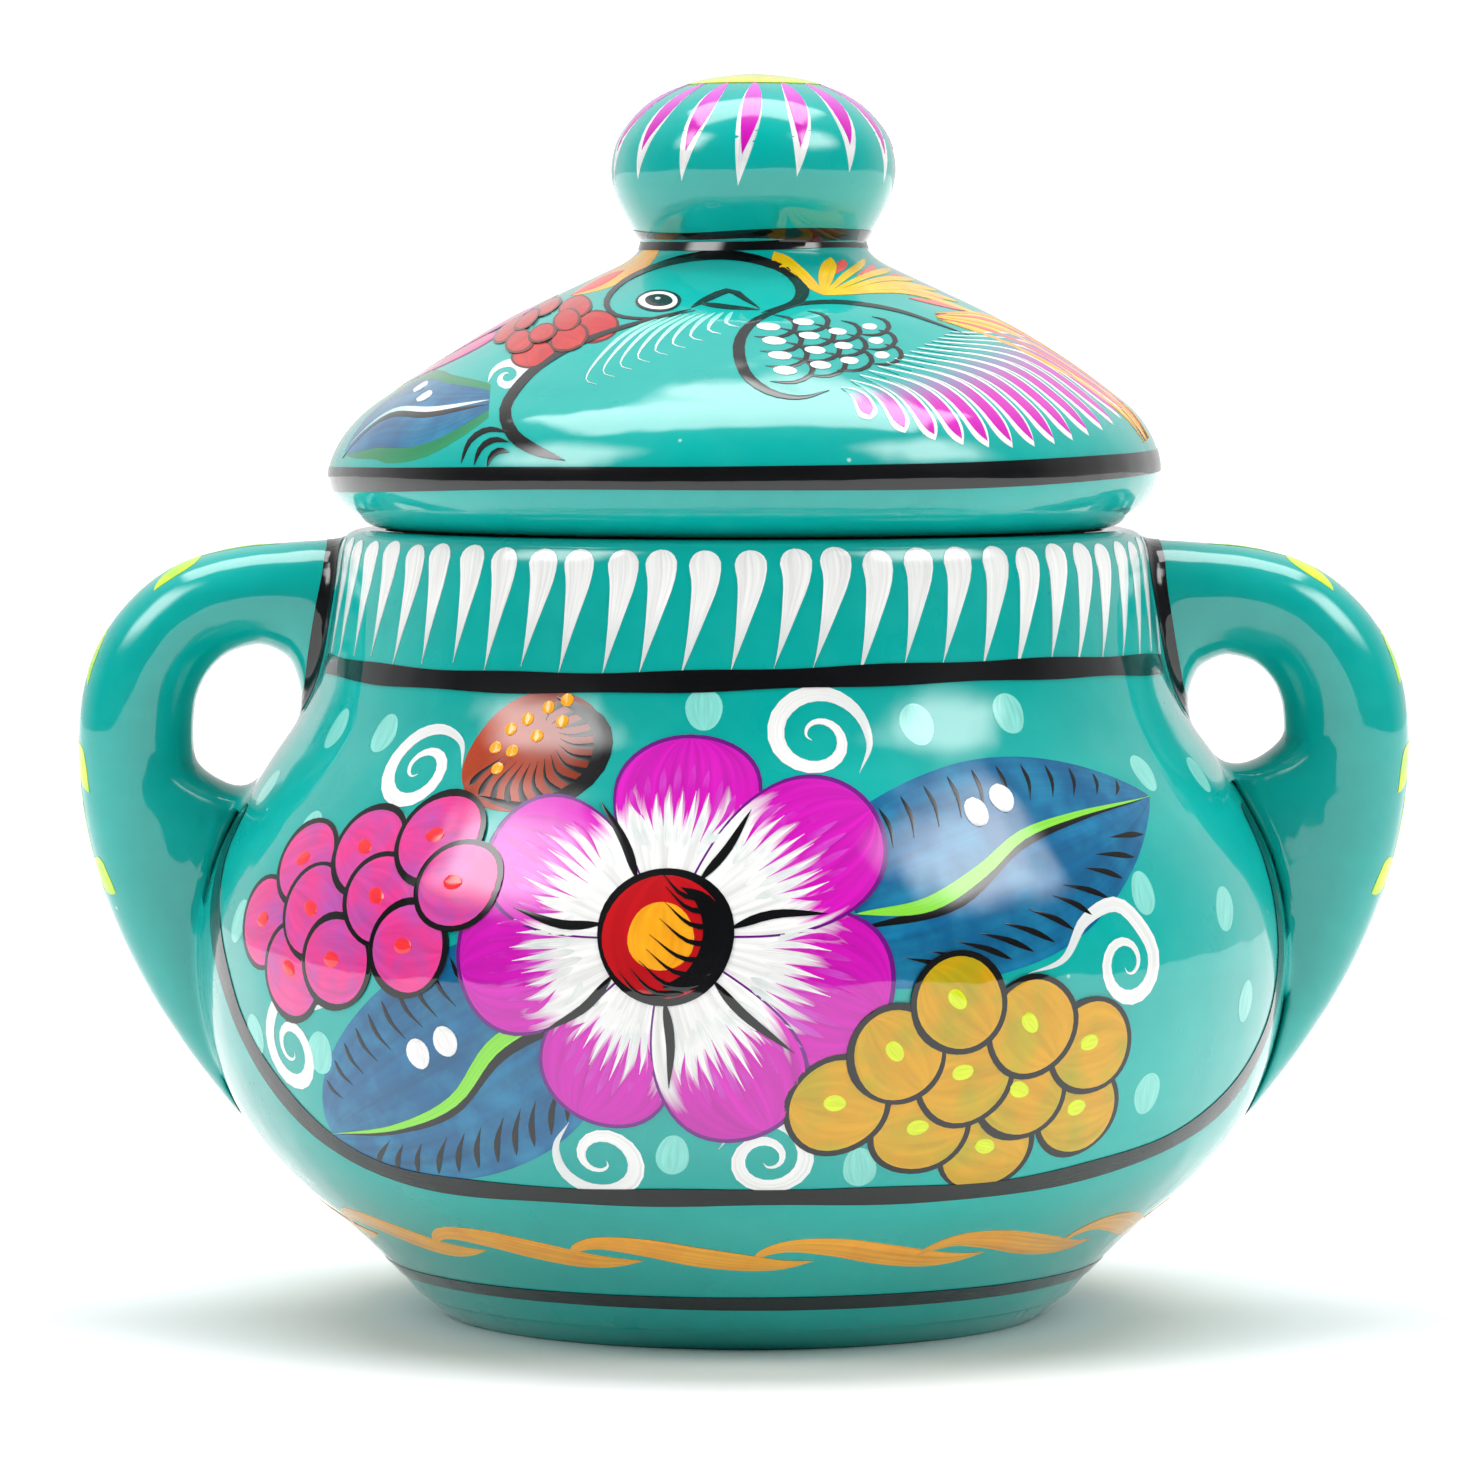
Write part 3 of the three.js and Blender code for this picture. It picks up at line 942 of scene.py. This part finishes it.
def closed_band(coat, chart, points, wide):
    """A black line right round a turned piece or an ear."""
    phase = hand.uniform(0, 6)

    def width(share, length):
        return wide * (1 + 0.08 * math.sin(2 * math.pi * 3 * share + phase))

    rows = []
    route = Route(flowing([*points, (points[0][0] + 360, points[0][1])], 2.0))
    count = 180
    for i in range(count):
        spot = route.at(route.length * i / count)
        half = width(i / count, 0) / 2 / chart.scale(spot)[1]
        rows.append([(spot + Vector((0, half * k / 2)), k / 2, i / count) for k in (-2, -1, 0, 1, 2)])
    coat.lay(chart, rows, 4, 0.012, BLACK, None, closed=True)


def knob_painting(coats):
    """Magenta petals with white edges that hang from a yellow disc on top of the knob."""
    belt = Belt(lid_skin)
    top = lid_skin.length_at(158.2)
    count = 15
    for k in range(count):
        angle = 360 * k / count - 4
        drop = hand.uniform(14.5, 17)
        points = [(angle + 5, top + 1.5), (angle + 2, top - 0.4 * drop), (angle - 2.5, top - drop)]
        coats["knob_edges"].stroke(belt, points, tapered(3.0, 0.5, 1.6), WHITE, GREY_WHITE, lift=1)
        inner = [(angle + 5, top + 1.5), (angle + 2.6, top - 0.38 * drop),
                 (angle - 0.8, top - 0.76 * drop)]
        coats["knob_petals"].stroke(belt, inner, tapered(2.4, 0.5, 1.7), ORCHID, MAGENTA, lift=2.6)
    coats["knob_top"].blob(Crown(lid_skin), 0, 0, 17, 17, LEMON, YELLOW, lift=4)


# ---- Ear handles ----
# The ear's centre line from inside the neck to where it dies into the belly, as
# (radius, height, half thickness).
EAR = ((48, 92.2, 7.9), (55, 92.8, 7.2), (59, 93, 6.7), (64, 92.8, 6.4), (70.2, 90.9, 6.6),
       (74.8, 87, 6.9), (77.6, 82, 7.2), (78.6, 76.4, 7.4), (78.5, 70.8, 7.5), (77.8, 65.5, 7.6),
       (76.7, 60, 7.5), (74.6, 53, 7.2), (71.6, 46.2, 7), (68, 39.8, 6.7), (64.4, 34, 6.2),
       (60.6, 28.2, 5.4), (56.5, 22.6, 4))
EAR_DEPTH = 7.2  # half the strap's depth, front to back
EAR_SIDES = 48
EAR_STATIONS = 84
FILLET_STEPS = 6
NECK_FILLET = 2.2
BELLY_FILLET = 3.2
ROOT_DEPTH = 0.8  # how far the ear's two ends lie in the pot's wall
RIM_LEVEL = 100.6  # the fillets stay below this height


class Ear:
    """One ear handle's surface before it meets the pot. Its hole ends at the height hole_floor, and
    fullness thickens its inner side. A turn of 0 is the outer side and a quarter turn the front."""

    def __init__(self, side, hole_floor, fullness):
        self.side = side
        self.hole_floor = hole_floor
        self.fullness = fullness
        self.route = Route(flowing(EAR, 0.8))

    def fill(self, radius, height):
        """How far clay smoothed into the finger hole's corners stands in from the strap."""
        at_neck = 10 * math.exp(min((55.4 - radius) / 1.8, 0))
        below = max(self.hole_floor + 5.8 - height, 0)
        return at_neck + min(below * below / 8, 12)

    def point(self, turn, distance):
        radius, height, half = self.route.at(distance)
        way = self.route.heading(distance)
        way = Vector((way.x, way.y)).normalized()
        inner = half + self.fullness + self.fill(radius, height)
        across = math.cos(turn) * (half if math.cos(turn) > 0 else inner)
        out = Vector((-way.y, way.x)) * across
        return Vector((self.side * (radius + out.x), -math.sin(turn) * EAR_DEPTH, height + out.y))


class Weave:
    """A chart over an ear's own rings: degrees round the strap, and rings from the neck down."""

    def __init__(self, rings):
        self.rings = rings

    def at(self, turn, ring):
        low = min(max(math.floor(ring), 0), len(self.rings) - 2)
        place = turn % 360 / 360 * EAR_SIDES
        k = math.floor(place)
        corners = [self.rings[low + i][(k + j) % EAR_SIDES] for i in (0, 1) for j in (0, 1)]
        near = corners[0].lerp(corners[1], place - k)
        return near.lerp(corners[2].lerp(corners[3], place - k), ring - low)

    def scale(self, spot):
        here = self.at(*spot)
        round_ = self.at(spot[0] + 2, spot[1]) - here
        onward = self.at(spot[0], spot[1] + 1) - here
        return round_.length / 2, onward.length

    def point(self, spot, lift):
        turn, ring = spot
        round_ = self.at(turn + 4, ring) - self.at(turn - 4, ring)
        onward = self.at(turn, ring + 0.5) - self.at(turn, ring - 0.5)
        normal = round_.cross(onward).normalized()
        outwards = self.at(turn, ring) - self.at(turn + 180, ring)
        return self.at(turn, ring) + normal * (lift if normal.dot(outwards) > 0 else -lift)


def clearance(point):
    """How far a point stands out from the pot's wall."""
    length = pot_skin.length_at(point.z)
    return math.hypot(point.x, point.y) - pot_skin.radius(length)


def on_skin(point):
    """The angle in radians and the length of the pot's skin at a point's own angle and height."""
    return math.atan2(point.x, -point.y), pot_skin.length_at(point.z)


def crossing(line, indices):
    """Where a line leaves the pot's wall, and the index of the first point outside it."""
    previous = None
    for i in indices:
        if clearance(line[i]) > 0:
            if previous is None:
                return line[i], i
            inside, out = clearance(line[previous]), clearance(line[i])
            return line[previous].lerp(line[i], inside / (inside - out)), i
        previous = i
    raise ValueError("the ear never leaves the pot")


def rooted(crossings, reach):
    """Each crossing moved away from the ear along the pot's skin, as (angle, length)."""
    spots = [on_skin(p) for p in crossings]
    flat = [Vector((a * pot_skin.radius(s), s)) for a, s in spots]
    middle = sum(flat, Vector((0, 0))) / len(flat)
    highest = pot_skin.length_at(RIM_LEVEL)
    out = []
    for i, (angle, length) in enumerate(spots):
        along = flat[(i + 1) % len(flat)] - flat[i - 1]
        away = Vector((along.y, -along.x)).normalized()
        if away.dot(flat[i] - middle) < 0:
            away = -away
        spread = length + away.y * reach
        out.append((angle + away.x * reach / pot_skin.radius(length), min(spread, highest)))
    return out


def ear_rings(ear):
    """The rings of the ear from its neck root to its belly root, smoothed into the pot at both."""
    lines = []
    steps = 200
    for k in range(EAR_SIDES):
        turn = 2 * math.pi * k / EAR_SIDES
        lines.append([ear.point(turn, ear.route.length * i / steps) for i in range(steps + 1)])
    neck = [crossing(line, range(steps + 1)) for line in lines]
    belly = [crossing(line, range(steps, -1, -1)) for line in lines]
    neck_roots = rooted([p for p, _ in neck], NECK_FILLET)
    belly_roots = rooted([p for p, _ in belly], BELLY_FILLET)
    rings = [[] for _ in range(EAR_STATIONS + 2 * FILLET_STEPS + 3)]
    for k, line in enumerate(lines):
        free = Route([neck[k][0], *line[neck[k][1] : belly[k][1] + 1], belly[k][0]])
        column = [pot_skin.point(*neck_roots[k], -ROOT_DEPTH)]
        start = free.at(NECK_FILLET)
        end = free.at(free.length - BELLY_FILLET)
        column += bent(pot_skin.point(*neck_roots[k]), neck[k][0], start)
        span = free.length - NECK_FILLET - BELLY_FILLET
        column += [free.at(NECK_FILLET + span * i / EAR_STATIONS) for i in range(1, EAR_STATIONS)]
        column += bent(end, belly[k][0], pot_skin.point(*belly_roots[k]))
        column.append(pot_skin.point(*belly_roots[k], -ROOT_DEPTH))
        for ring, point in zip(rings, column):
            ring.append(point)
    return rings


def bent(start, corner, end):
    """Points of a curve from start to end that rounds off a corner."""
    shares = [i / FILLET_STEPS for i in range(FILLET_STEPS + 1)]
    return [start * (1 - t) ** 2 + corner * 2 * t * (1 - t) + end * t**2 for t in shares]


def make_ear(name, rings, node, material):
    """The ear as a closed tube, capped inside the pot at both ends."""
    corners = [p for ring in rings for p in ring]
    faces = []
    for i in range(len(rings) - 1):
        here, onward = i * EAR_SIDES, (i + 1) * EAR_SIDES
        for k in range(EAR_SIDES):
            j = (k + 1) % EAR_SIDES
            faces.append((here + k, here + j, onward + j, onward + k))
    half = EAR_SIDES // 2
    for first, flip in ((0, False), ((len(rings) - 1) * EAR_SIDES, True)):
        for k in range(half):
            rung = [first + k, first + k + 1, first + (EAR_SIDES - k - 1) % EAR_SIDES,
                    first + (EAR_SIDES - k) % EAR_SIDES]
            rung = list(dict.fromkeys(rung))
            faces.append(rung[::-1] if flip else rung)
    mesh = solid_mesh(name, corners, faces, crease=60)
    mesh.materials.append(material)
    return settle(name, mesh, "jar", "turquoise_lacquer", [node])


def ear_painting(coats, rings):
    """A black line round an ear's joint with the neck, and a lime vine down its outer side."""
    chart = Weave(rings)
    joint = 1.5 + FILLET_STEPS / 2
    closed_band(coats["joint_lines"], chart, [(30 * k, joint) for k in range(12)], 2.4)
    vine = [(9 * math.sin(0.14 * ring), ring) for ring in range(12, 76, 4)]
    coats["ear_vines"].stroke(chart, vine, tapered(1.2, 0.3, 1.5), LIME, lift=1.5, columns=3, step=0.9)
    for k in range(9):
        ring = 14 + 6.5 * k
        turn = 9 * math.sin(0.14 * ring)
        side = 1 if k % 2 else -1
        sprig = [(turn, ring), (turn + 15 * side, ring + 2.2), (turn + 33 * side, ring + 7)]
        coats["ear_vines"].stroke(chart, sprig, tapered(3.2, 0.5, 1.6), LEMON, LIME, lift=2.5)


# ---- Turned clay ----
def make_turned(name, node, body, slot, section, lean, materials, glazed=None, closed=False):
    """A shell turned from its outline, in place of a node. Where glazed is given, glazed(i) says if
    the outline has the first material after point i, or the second."""
    corners, rows, faces, kinds = [], [], [], []
    for p in section:
        if p.x < 1e-3 and not closed:
            rows.append([len(corners)])
            corners.append(Vector((lean(p.y), 0, p.y)))
            continue
        rows.append(range(len(corners), len(corners) + TURN_STEPS))
        for k in range(TURN_STEPS):
            corners.append(thrown(2 * math.pi * k / TURN_STEPS, p.x, p.y, lean))
    for a in range(len(rows) if closed else len(rows) - 1):
        b = (a + 1) % len(rows)
        kind = 1 if glazed and not glazed(a) else 0
        for k in range(TURN_STEPS):
            j = (k + 1) % TURN_STEPS
            face = [rows[a][k % len(rows[a])], rows[a][j % len(rows[a])], rows[b][j % len(rows[b])],
                    rows[b][k % len(rows[b])]]
            faces.append(list(dict.fromkeys(face)))
            kinds.append(kind)
    mesh = solid_mesh(name, corners, faces, crease=70)
    for material in materials:
        mesh.materials.append(material)
    mesh.polygons.foreach_set("material_index", kinds)
    settle(name, mesh, body, slot, [node])


def lacquered_part(section):
    """Picks the outside of an outline, with a little of the lip past it."""
    outer = outside(section)
    first = next(i for i, p in enumerate(section) if p == outer[0])
    last = first + len(outer) + 5
    return lambda i: first - 2 <= i < last


def shifted_top(section, rise, spread=0.0):
    """An outline with its top edge raised, and its outer top corner spread."""
    top = max(p.y for p in section)
    middle = sum(p.x for p in section) / len(section)
    out = []
    for p in section:
        share = max(0.0, 1 - (top - p.y) / 0.6)
        out.append(p + Vector((spread if p.x > middle else 0, rise)) * share)
    return out


# ---- Materials ----
class Nodes:
    """A node tree being wired. add gives back the new node, and ramp, sums and dot its output."""

    def __init__(self, tree):
        self.tree = tree

    def add(self, kind, inputs=None, **settings):
        node = self.tree.nodes.new("ShaderNode" + kind)
        for name, value in settings.items():
            setattr(node, name, value)
        self.feed(node, inputs or {})
        return node

    def feed(self, node, inputs):
        for name, value in inputs.items():
            if isinstance(value, bpy.types.NodeSocket):
                self.tree.links.new(value, node.inputs[name])
            else:
                node.inputs[name].default_value = value

    def ramp(self, value, low, high, start=0.0, end=1.0, kind="LINEAR"):
        """The value carried from low..high to start..end, and held there beyond."""
        inputs = {"Value": value, "From Min": low, "From Max": high, "To Min": start, "To Max": end}
        return self.add("MapRange", inputs, interpolation_type=kind).outputs[0]

    def sums(self, first, second, kind="ADD"):
        return self.add("Math", {0: first, 1: second}, operation=kind).outputs[0]

    def dot(self, first, second):
        """How far one direction reaches along another."""
        return self.add("VectorMath", {0: first, 1: second}, operation="DOT_PRODUCT").outputs["Value"]


class Recipe(Nodes):
    """A material being mixed."""

    def __init__(self, name):
        self.material = bpy.data.materials.new(name)
        self.material.use_nodes = True
        super().__init__(self.material.node_tree)
        self.shader = self.tree.nodes["Principled BSDF"]
        self.place = self.add("TexCoord").outputs["Object"]

    def noise(self, scale, detail, stretch=(1, 1, 1), where=None):
        spread = self.add("Mapping", {"Vector": where or self.place, "Scale": stretch}).outputs[0]
        return self.add("TexNoise", {"Vector": spread, "Scale": scale, "Detail": detail}).outputs["Fac"]

    def mix(self, share, first, second, kind="MIX"):
        """Two colours mixed. The node takes them at its inputs 6 and 7, and output 2 is a colour."""
        node = self.add("Mix", data_type="RGBA", blend_type=kind)
        self.feed(node, {0: share, 6: first, 7: second})
        return node.outputs[2]

    def attribute(self, name, output="Color"):
        return self.add("Attribute", attribute_name=name).outputs[output]

    def bump(self, height, strength, distance_mm, under=None):
        inputs = {"Height": height, "Strength": strength, "Distance": distance_mm * MM}
        if under:
            inputs["Normal"] = under
        return self.add("Bump", inputs).outputs[0]

    def lacquer(self, base, roughness=0.32, relief=None):
        """Colour under a clear glossy coat whose surface swims a little, as brushed lacquer does."""
        swim = self.bump(self.noise(75, 2, (1, 1, 0.6)), 0.5, 0.75)
        peel = self.bump(self.noise(420, 2), 0.10, 0.05, swim)
        under = relief if relief else peel
        rough = self.ramp(self.noise(120, 3), 0.3, 0.7, roughness - 0.06, roughness + 0.08)
        self.feed(self.shader, {
            "Base Color": base, "Roughness": rough, "Specular IOR Level": 0.12, "Coat Weight": 1.0,
            "Coat Roughness": 0.04, "Coat IOR": 1.6, "Normal": under, "Coat Normal": peel,
        })
        return self.material


def turquoise_lacquer():
    """Brushed turquoise: slow cloudy changes, fine rings from the turning and a few dust specks."""
    recipe = Recipe("turquoise_lacquer")
    clouds = recipe.ramp(recipe.noise(16, 3), 0.3, 0.7)
    base = recipe.mix(clouds, colour("00A39B"), colour("00B9B0"))
    rings = recipe.ramp(recipe.noise(9, 5, (1, 1, 22)), 0.35, 0.75, 0.0, 0.22)
    base = recipe.mix(rings, base, colour("008E88"))
    grain = recipe.ramp(recipe.noise(260, 4), 0.45, 0.8, 0.0, 0.12)
    base = recipe.mix(grain, base, colour("3ACBBE"))
    cells = recipe.add("TexVoronoi", {"Vector": recipe.place, "Scale": 150.0})
    speck = recipe.ramp(cells.outputs["Distance"], 0.025, 0.05, 1.0, 0.0)
    rare = recipe.ramp(recipe.add("SeparateColor", {0: cells.outputs["Color"]}).outputs[0], 0.8, 0.82)
    dust = recipe.sums(speck, rare, "MULTIPLY")
    base = recipe.mix(recipe.sums(dust, 0.6, "MULTIPLY"), base, colour("CFEFEA"))
    return recipe.lacquer(base)


def paint(name, change="dabbed", at=0.5, soft=0.2, jag=0.3, streaks=5.0, depth=0.12):
    """Brushed paint in the stroke's own two colours. Drawn paint changes colour along the stroke,
    with a ragged edge, and dabbed paint is mottled with its second colour."""
    recipe = Recipe(name)
    brush = recipe.attribute("brush", "Vector")
    parts = recipe.add("SeparateXYZ", {0: brush})
    marks = recipe.noise(1.0, 4, (streaks, 1.2, 40), brush)
    if change == "drawn":
        ragged = recipe.sums(recipe.sums(marks, 0.5, "SUBTRACT"), jag * 2, "MULTIPLY")
        reach = recipe.sums(ragged, parts.outputs[1])
        share = recipe.ramp(reach, at - soft / 2, at + soft / 2)
    else:
        share = recipe.ramp(recipe.noise(190, 4), 0.42, 0.72, 0.0, 0.85)
    base = recipe.mix(share, recipe.attribute("tint"), recipe.attribute("tip"))
    shade = recipe.ramp(marks, 0.3, 0.7, 1 - depth, 1 + depth)
    tone = recipe.add("CombineColor", {0: shade, 1: shade, 2: shade}).outputs[0]
    base = recipe.mix(1.0, base, tone, "MULTIPLY")
    bristles = recipe.bump(marks, 0.25, 0.06)
    return recipe.lacquer(base, 0.38, bristles)


def bare_clay():
    """Unglazed red earthenware: sandy, speckled, with fine turning lines."""
    recipe = Recipe("bare_clay")
    clouds = recipe.ramp(recipe.noise(22, 4), 0.3, 0.7)
    base = recipe.mix(clouds, colour("A8603C"), colour("C07A50"))
    sand = recipe.ramp(recipe.noise(900, 3), 0.52, 0.75, 0.0, 0.5)
    base = recipe.mix(sand, base, colour("7E4226"))
    chalk = recipe.ramp(recipe.noise(420, 2), 0.66, 0.78, 0.0, 0.6)
    base = recipe.mix(chalk, base, colour("E0B48E"))
    rings = recipe.bump(recipe.noise(30, 3, (1, 1, 16)), 0.5, 0.3)
    relief = recipe.bump(recipe.noise(900, 4), 0.5, 0.12, rings)
    recipe.feed(recipe.shader, {"Base Color": base, "Roughness": 0.86, "Normal": relief})
    return recipe.material


def floor_paper():
    """Plain white studio paper."""
    recipe = Recipe("studio_paper")
    base = recipe.mix(recipe.noise(3, 2), colour("F0F1F1"), colour("F4F4F4"))
    recipe.feed(recipe.shader, {"Base Color": base, "Roughness": 0.9})
    return recipe.material


# ---- Building the jar ----
lacquer = turquoise_lacquer()
clay = bare_clay()


def make_pot():
    make_turned("pot", "jar_body", "jar", "turquoise_lacquer", POT_SECTION, upright,
                [lacquer, clay], lacquered_part(POT_SECTION))
    foot = shifted_top(section_of("foot_ring", closed=True), OVERLAP, 0.3)
    make_turned("foot", "foot_ring", "jar", "turquoise_lacquer", foot, upright, [lacquer],
                closed=True)


def make_lid():
    make_turned("lid_shell", "lid_dome", "lid", "turquoise_lacquer", LID_SECTION, leaning,
                [lacquer, clay], lacquered_part(LID_SECTION))
    collar = shifted_top(section_of("lid_flange", closed=True), OVERLAP)
    make_turned("lid_collar", "lid_flange", "lid", "bare_clay", collar, upright, [clay],
                closed=True)
    low = min(p.y for p in KNOB_SECTION)
    knob = [Vector((p.x, p.y - OVERLAP)) if p.y < low + 0.2 else p for p in KNOB_SECTION]
    make_turned("knob", "lid_knob", "lid", "turquoise_lacquer", knob, leaning, [lacquer])


# Each layer of paint: its name, body, slot and how its paint behaves.
COATS = (
    ("frame_lines", "jar", "black_paint", {}),
    ("rim_fringe", "jar", "white_paint", {"change": "drawn", "at": 0.75, "soft": 0.5}),
    ("foot_chain", "jar", "orange_paint", {"depth": 0.2}),
    ("pale_dots", "jar", "white_paint", {}),
    ("swirls", "jar", "white_paint", {"change": "drawn", "at": 0.9, "soft": 0.6}),
    ("dew", "jar", "white_paint", {}),
    ("leaves", "jar", "blue_paint", {"streaks": 9.0, "depth": 0.2}),
    ("leaf_veins", "jar", "lime_paint", {}),
    ("leaf_lines", "jar", "black_paint", {}),
    ("buds", "jar", "brown_paint", {"change": "drawn", "at": 0.75, "soft": 0.7}),
    ("bud_dots", "jar", "orange_paint", {}),
    ("petal_edges", "jar", "magenta_paint", {}),
    ("petals", "jar", "magenta_paint", {"change": "drawn", "at": 0.52, "soft": 0.16, "jag": 0.35,
                                        "streaks": 8.0, "depth": 0.2}),
    ("petal_lights", "jar", "white_paint", {}),
    ("petal_darks", "jar", "magenta_paint", {}),
    ("flower_hearts", "jar", "red_paint", {}),
    ("heart_lights", "jar", "orange_paint", {}),
    ("pink_fruit", "jar", "pink_paint", {}),
    ("pink_fruit_dots", "jar", "red_paint", {}),
    ("gold_fruit", "jar", "gold_paint", {}),
    ("gold_fruit_dots", "jar", "lime_paint", {}),
    ("fruit_rims", "jar", "black_paint", {}),
    ("fine_lines", "jar", "black_paint", {}),
    ("joint_lines", "jar", "black_paint", {}),
    ("ear_vines", "jar", "lime_paint", {}),
    ("lid_lines", "lid", "black_paint", {}),
    ("lid_dots", "lid", "white_paint", {}),
    ("down", "lid", "white_paint", {"change": "drawn", "at": 0.6, "soft": 0.7}),
    ("feathers", "lid", "white_paint", {}),
    ("feather_hearts", "lid", "magenta_paint", {"change": "drawn", "at": 0.42, "soft": 0.4}),
    ("tail", "lid", "gold_paint", {}),
    ("lid_blooms", "lid", "pink_paint", {"change": "drawn", "at": 0.5, "soft": 0.2}),
    ("crest", "lid", "gold_paint", {}),
    ("crest_hearts", "lid", "red_paint", {}),
    ("roses", "lid", "red_paint", {}),
    ("lid_leaves", "lid", "lime_paint", {}),
    ("lid_leaf_hearts", "lid", "blue_paint", {"streaks": 9.0, "depth": 0.2}),
    ("lid_swirls", "lid", "white_paint", {}),
    ("knob_edges", "lid", "white_paint", {}),
    ("knob_petals", "lid", "magenta_paint", {"change": "drawn", "at": 0.5, "soft": 0.5}),
    ("knob_top", "lid", "lime_paint", {}),
)


def paint_jar(ears):
    """All the painting, on the pot, its ears and the lid."""
    coats = {name: Coat(name, body, slot) for name, body, slot, _ in COATS}
    fringe(coats["rim_fringe"])
    chain(coats["foot_chain"])
    for facing in (0, 180):
        pot_panel(coats, facing)
    base_line = [(30 * k, pot_skin.length_at(6.8)) for k in range(12)]
    closed_band(coats["frame_lines"], Belt(pot_skin), base_line, 2.4)
    for rings in ears:
        ear_painting(coats, rings)
    lid_painting(coats)
    for name, _, _, manner in COATS:
        coats[name].finish(paint(name, **manner))


# ---- Studio ----
def floor():
    """White paper under and all round the jar."""
    half = 4.0  # in metres
    corners = [(-half, -half, 0), (half, -half, 0), (half, half, 0), (-half, half, 0)]
    mesh = bpy.data.meshes.new("floor")
    mesh.from_pydata(corners, [], [(0, 1, 2, 3)])
    mesh.materials.append(floor_paper())
    piece = bpy.data.objects.new("floor", mesh)
    bpy.context.scene.collection.objects.link(piece)


# The studio's soft windows: azimuth (0 in front, 90 at +X), elevation, half width, half height and
# soft border in degrees, and radiance.
WINDOWS = (
    (-62, 40, 13, 12, 14, 7.0),
    (62, 40, 13, 12, 14, 7.0),
    (180, 83, 30, 15.5, 6, 5.6),
)


def window(nodes, way, azimuth, elevation, wide, tall, border, radiance):
    """One soft-edged bright rectangle in the studio's dim surroundings."""
    a, e = math.radians(azimuth), math.radians(elevation)
    centre = Vector((math.sin(a) * math.cos(e), -math.cos(a) * math.cos(e), math.sin(e)))
    right = Vector((math.cos(a), math.sin(a), 0))
    ahead = nodes.dot(way, centre)
    edges = nodes.ramp(ahead, 0.01, 0.02, 0.0, radiance)
    for axis, half in ((right, wide), (centre.cross(right), tall)):
        slope = nodes.sums(nodes.dot(way, axis), nodes.sums(ahead, 0.01, "MAXIMUM"), "DIVIDE")
        near, far = math.tan(math.radians(half - border / 2)), math.tan(math.radians(half + border / 2))
        edge = nodes.ramp(nodes.sums(slope, 0, "ABSOLUTE"), near, far, 1.0, 0.0, "SMOOTHSTEP")
        edges = nodes.sums(edges, edge, "MULTIPLY")
    return edges


def studio_air():
    """A white background for the camera. For light, dim surroundings with soft bright windows."""
    world = bpy.data.worlds.new("studio")
    bpy.context.scene.world = world
    world.use_nodes = True
    world.node_tree.nodes.clear()
    nodes = Nodes(world.node_tree)
    way = nodes.add("TexCoord").outputs["Generated"]
    glow = nodes.ramp(nodes.dot(way, Vector((0, 1, 0))), -0.1, 0.7, 0.04, 0.78)
    for setting in WINDOWS:
        glow = nodes.sums(glow, window(nodes, way, *setting), "MAXIMUM")
    seen = nodes.add("LightPath").outputs["Is Camera Ray"]
    strength = nodes.add("Mix", {0: seen, 2: glow, 3: 1.2}).outputs[0]
    light = nodes.add("Background", {"Color": (1, 1, 1, 1), "Strength": strength})
    nodes.add("OutputWorld", {0: light.outputs[0]})


def camera():
    """Straight in front, a little above the lid's rim, with a long lens."""
    eye = Vector((0, -0.9696, 0.131))  # in metres
    aim = Vector((-0.0008, 0, 0.0744))
    data = bpy.data.cameras.new("camera")
    data.sensor_width = 36
    data.lens = 183.05
    piece = bpy.data.objects.new("camera", data)
    piece.location = eye
    piece.rotation_euler = (aim - eye).to_track_quat("-Z", "Y").to_euler()
    bpy.context.scene.collection.objects.link(piece)
    bpy.context.scene.camera = piece


camera()
floor()
studio_air()
bpy.context.scene.view_settings.view_transform = "Standard"

make_pot()
make_lid()
left_ear = ear_rings(Ear(side=-1, hole_floor=66.4, fullness=0.0))
right_ear = ear_rings(Ear(side=1, hole_floor=70.2, fullness=1.3))
make_ear("left_ear", left_ear, "left_handle", lacquer)
make_ear("right_ear", right_ear, "right_handle", lacquer)
paint_jar([left_ear, right_ear])
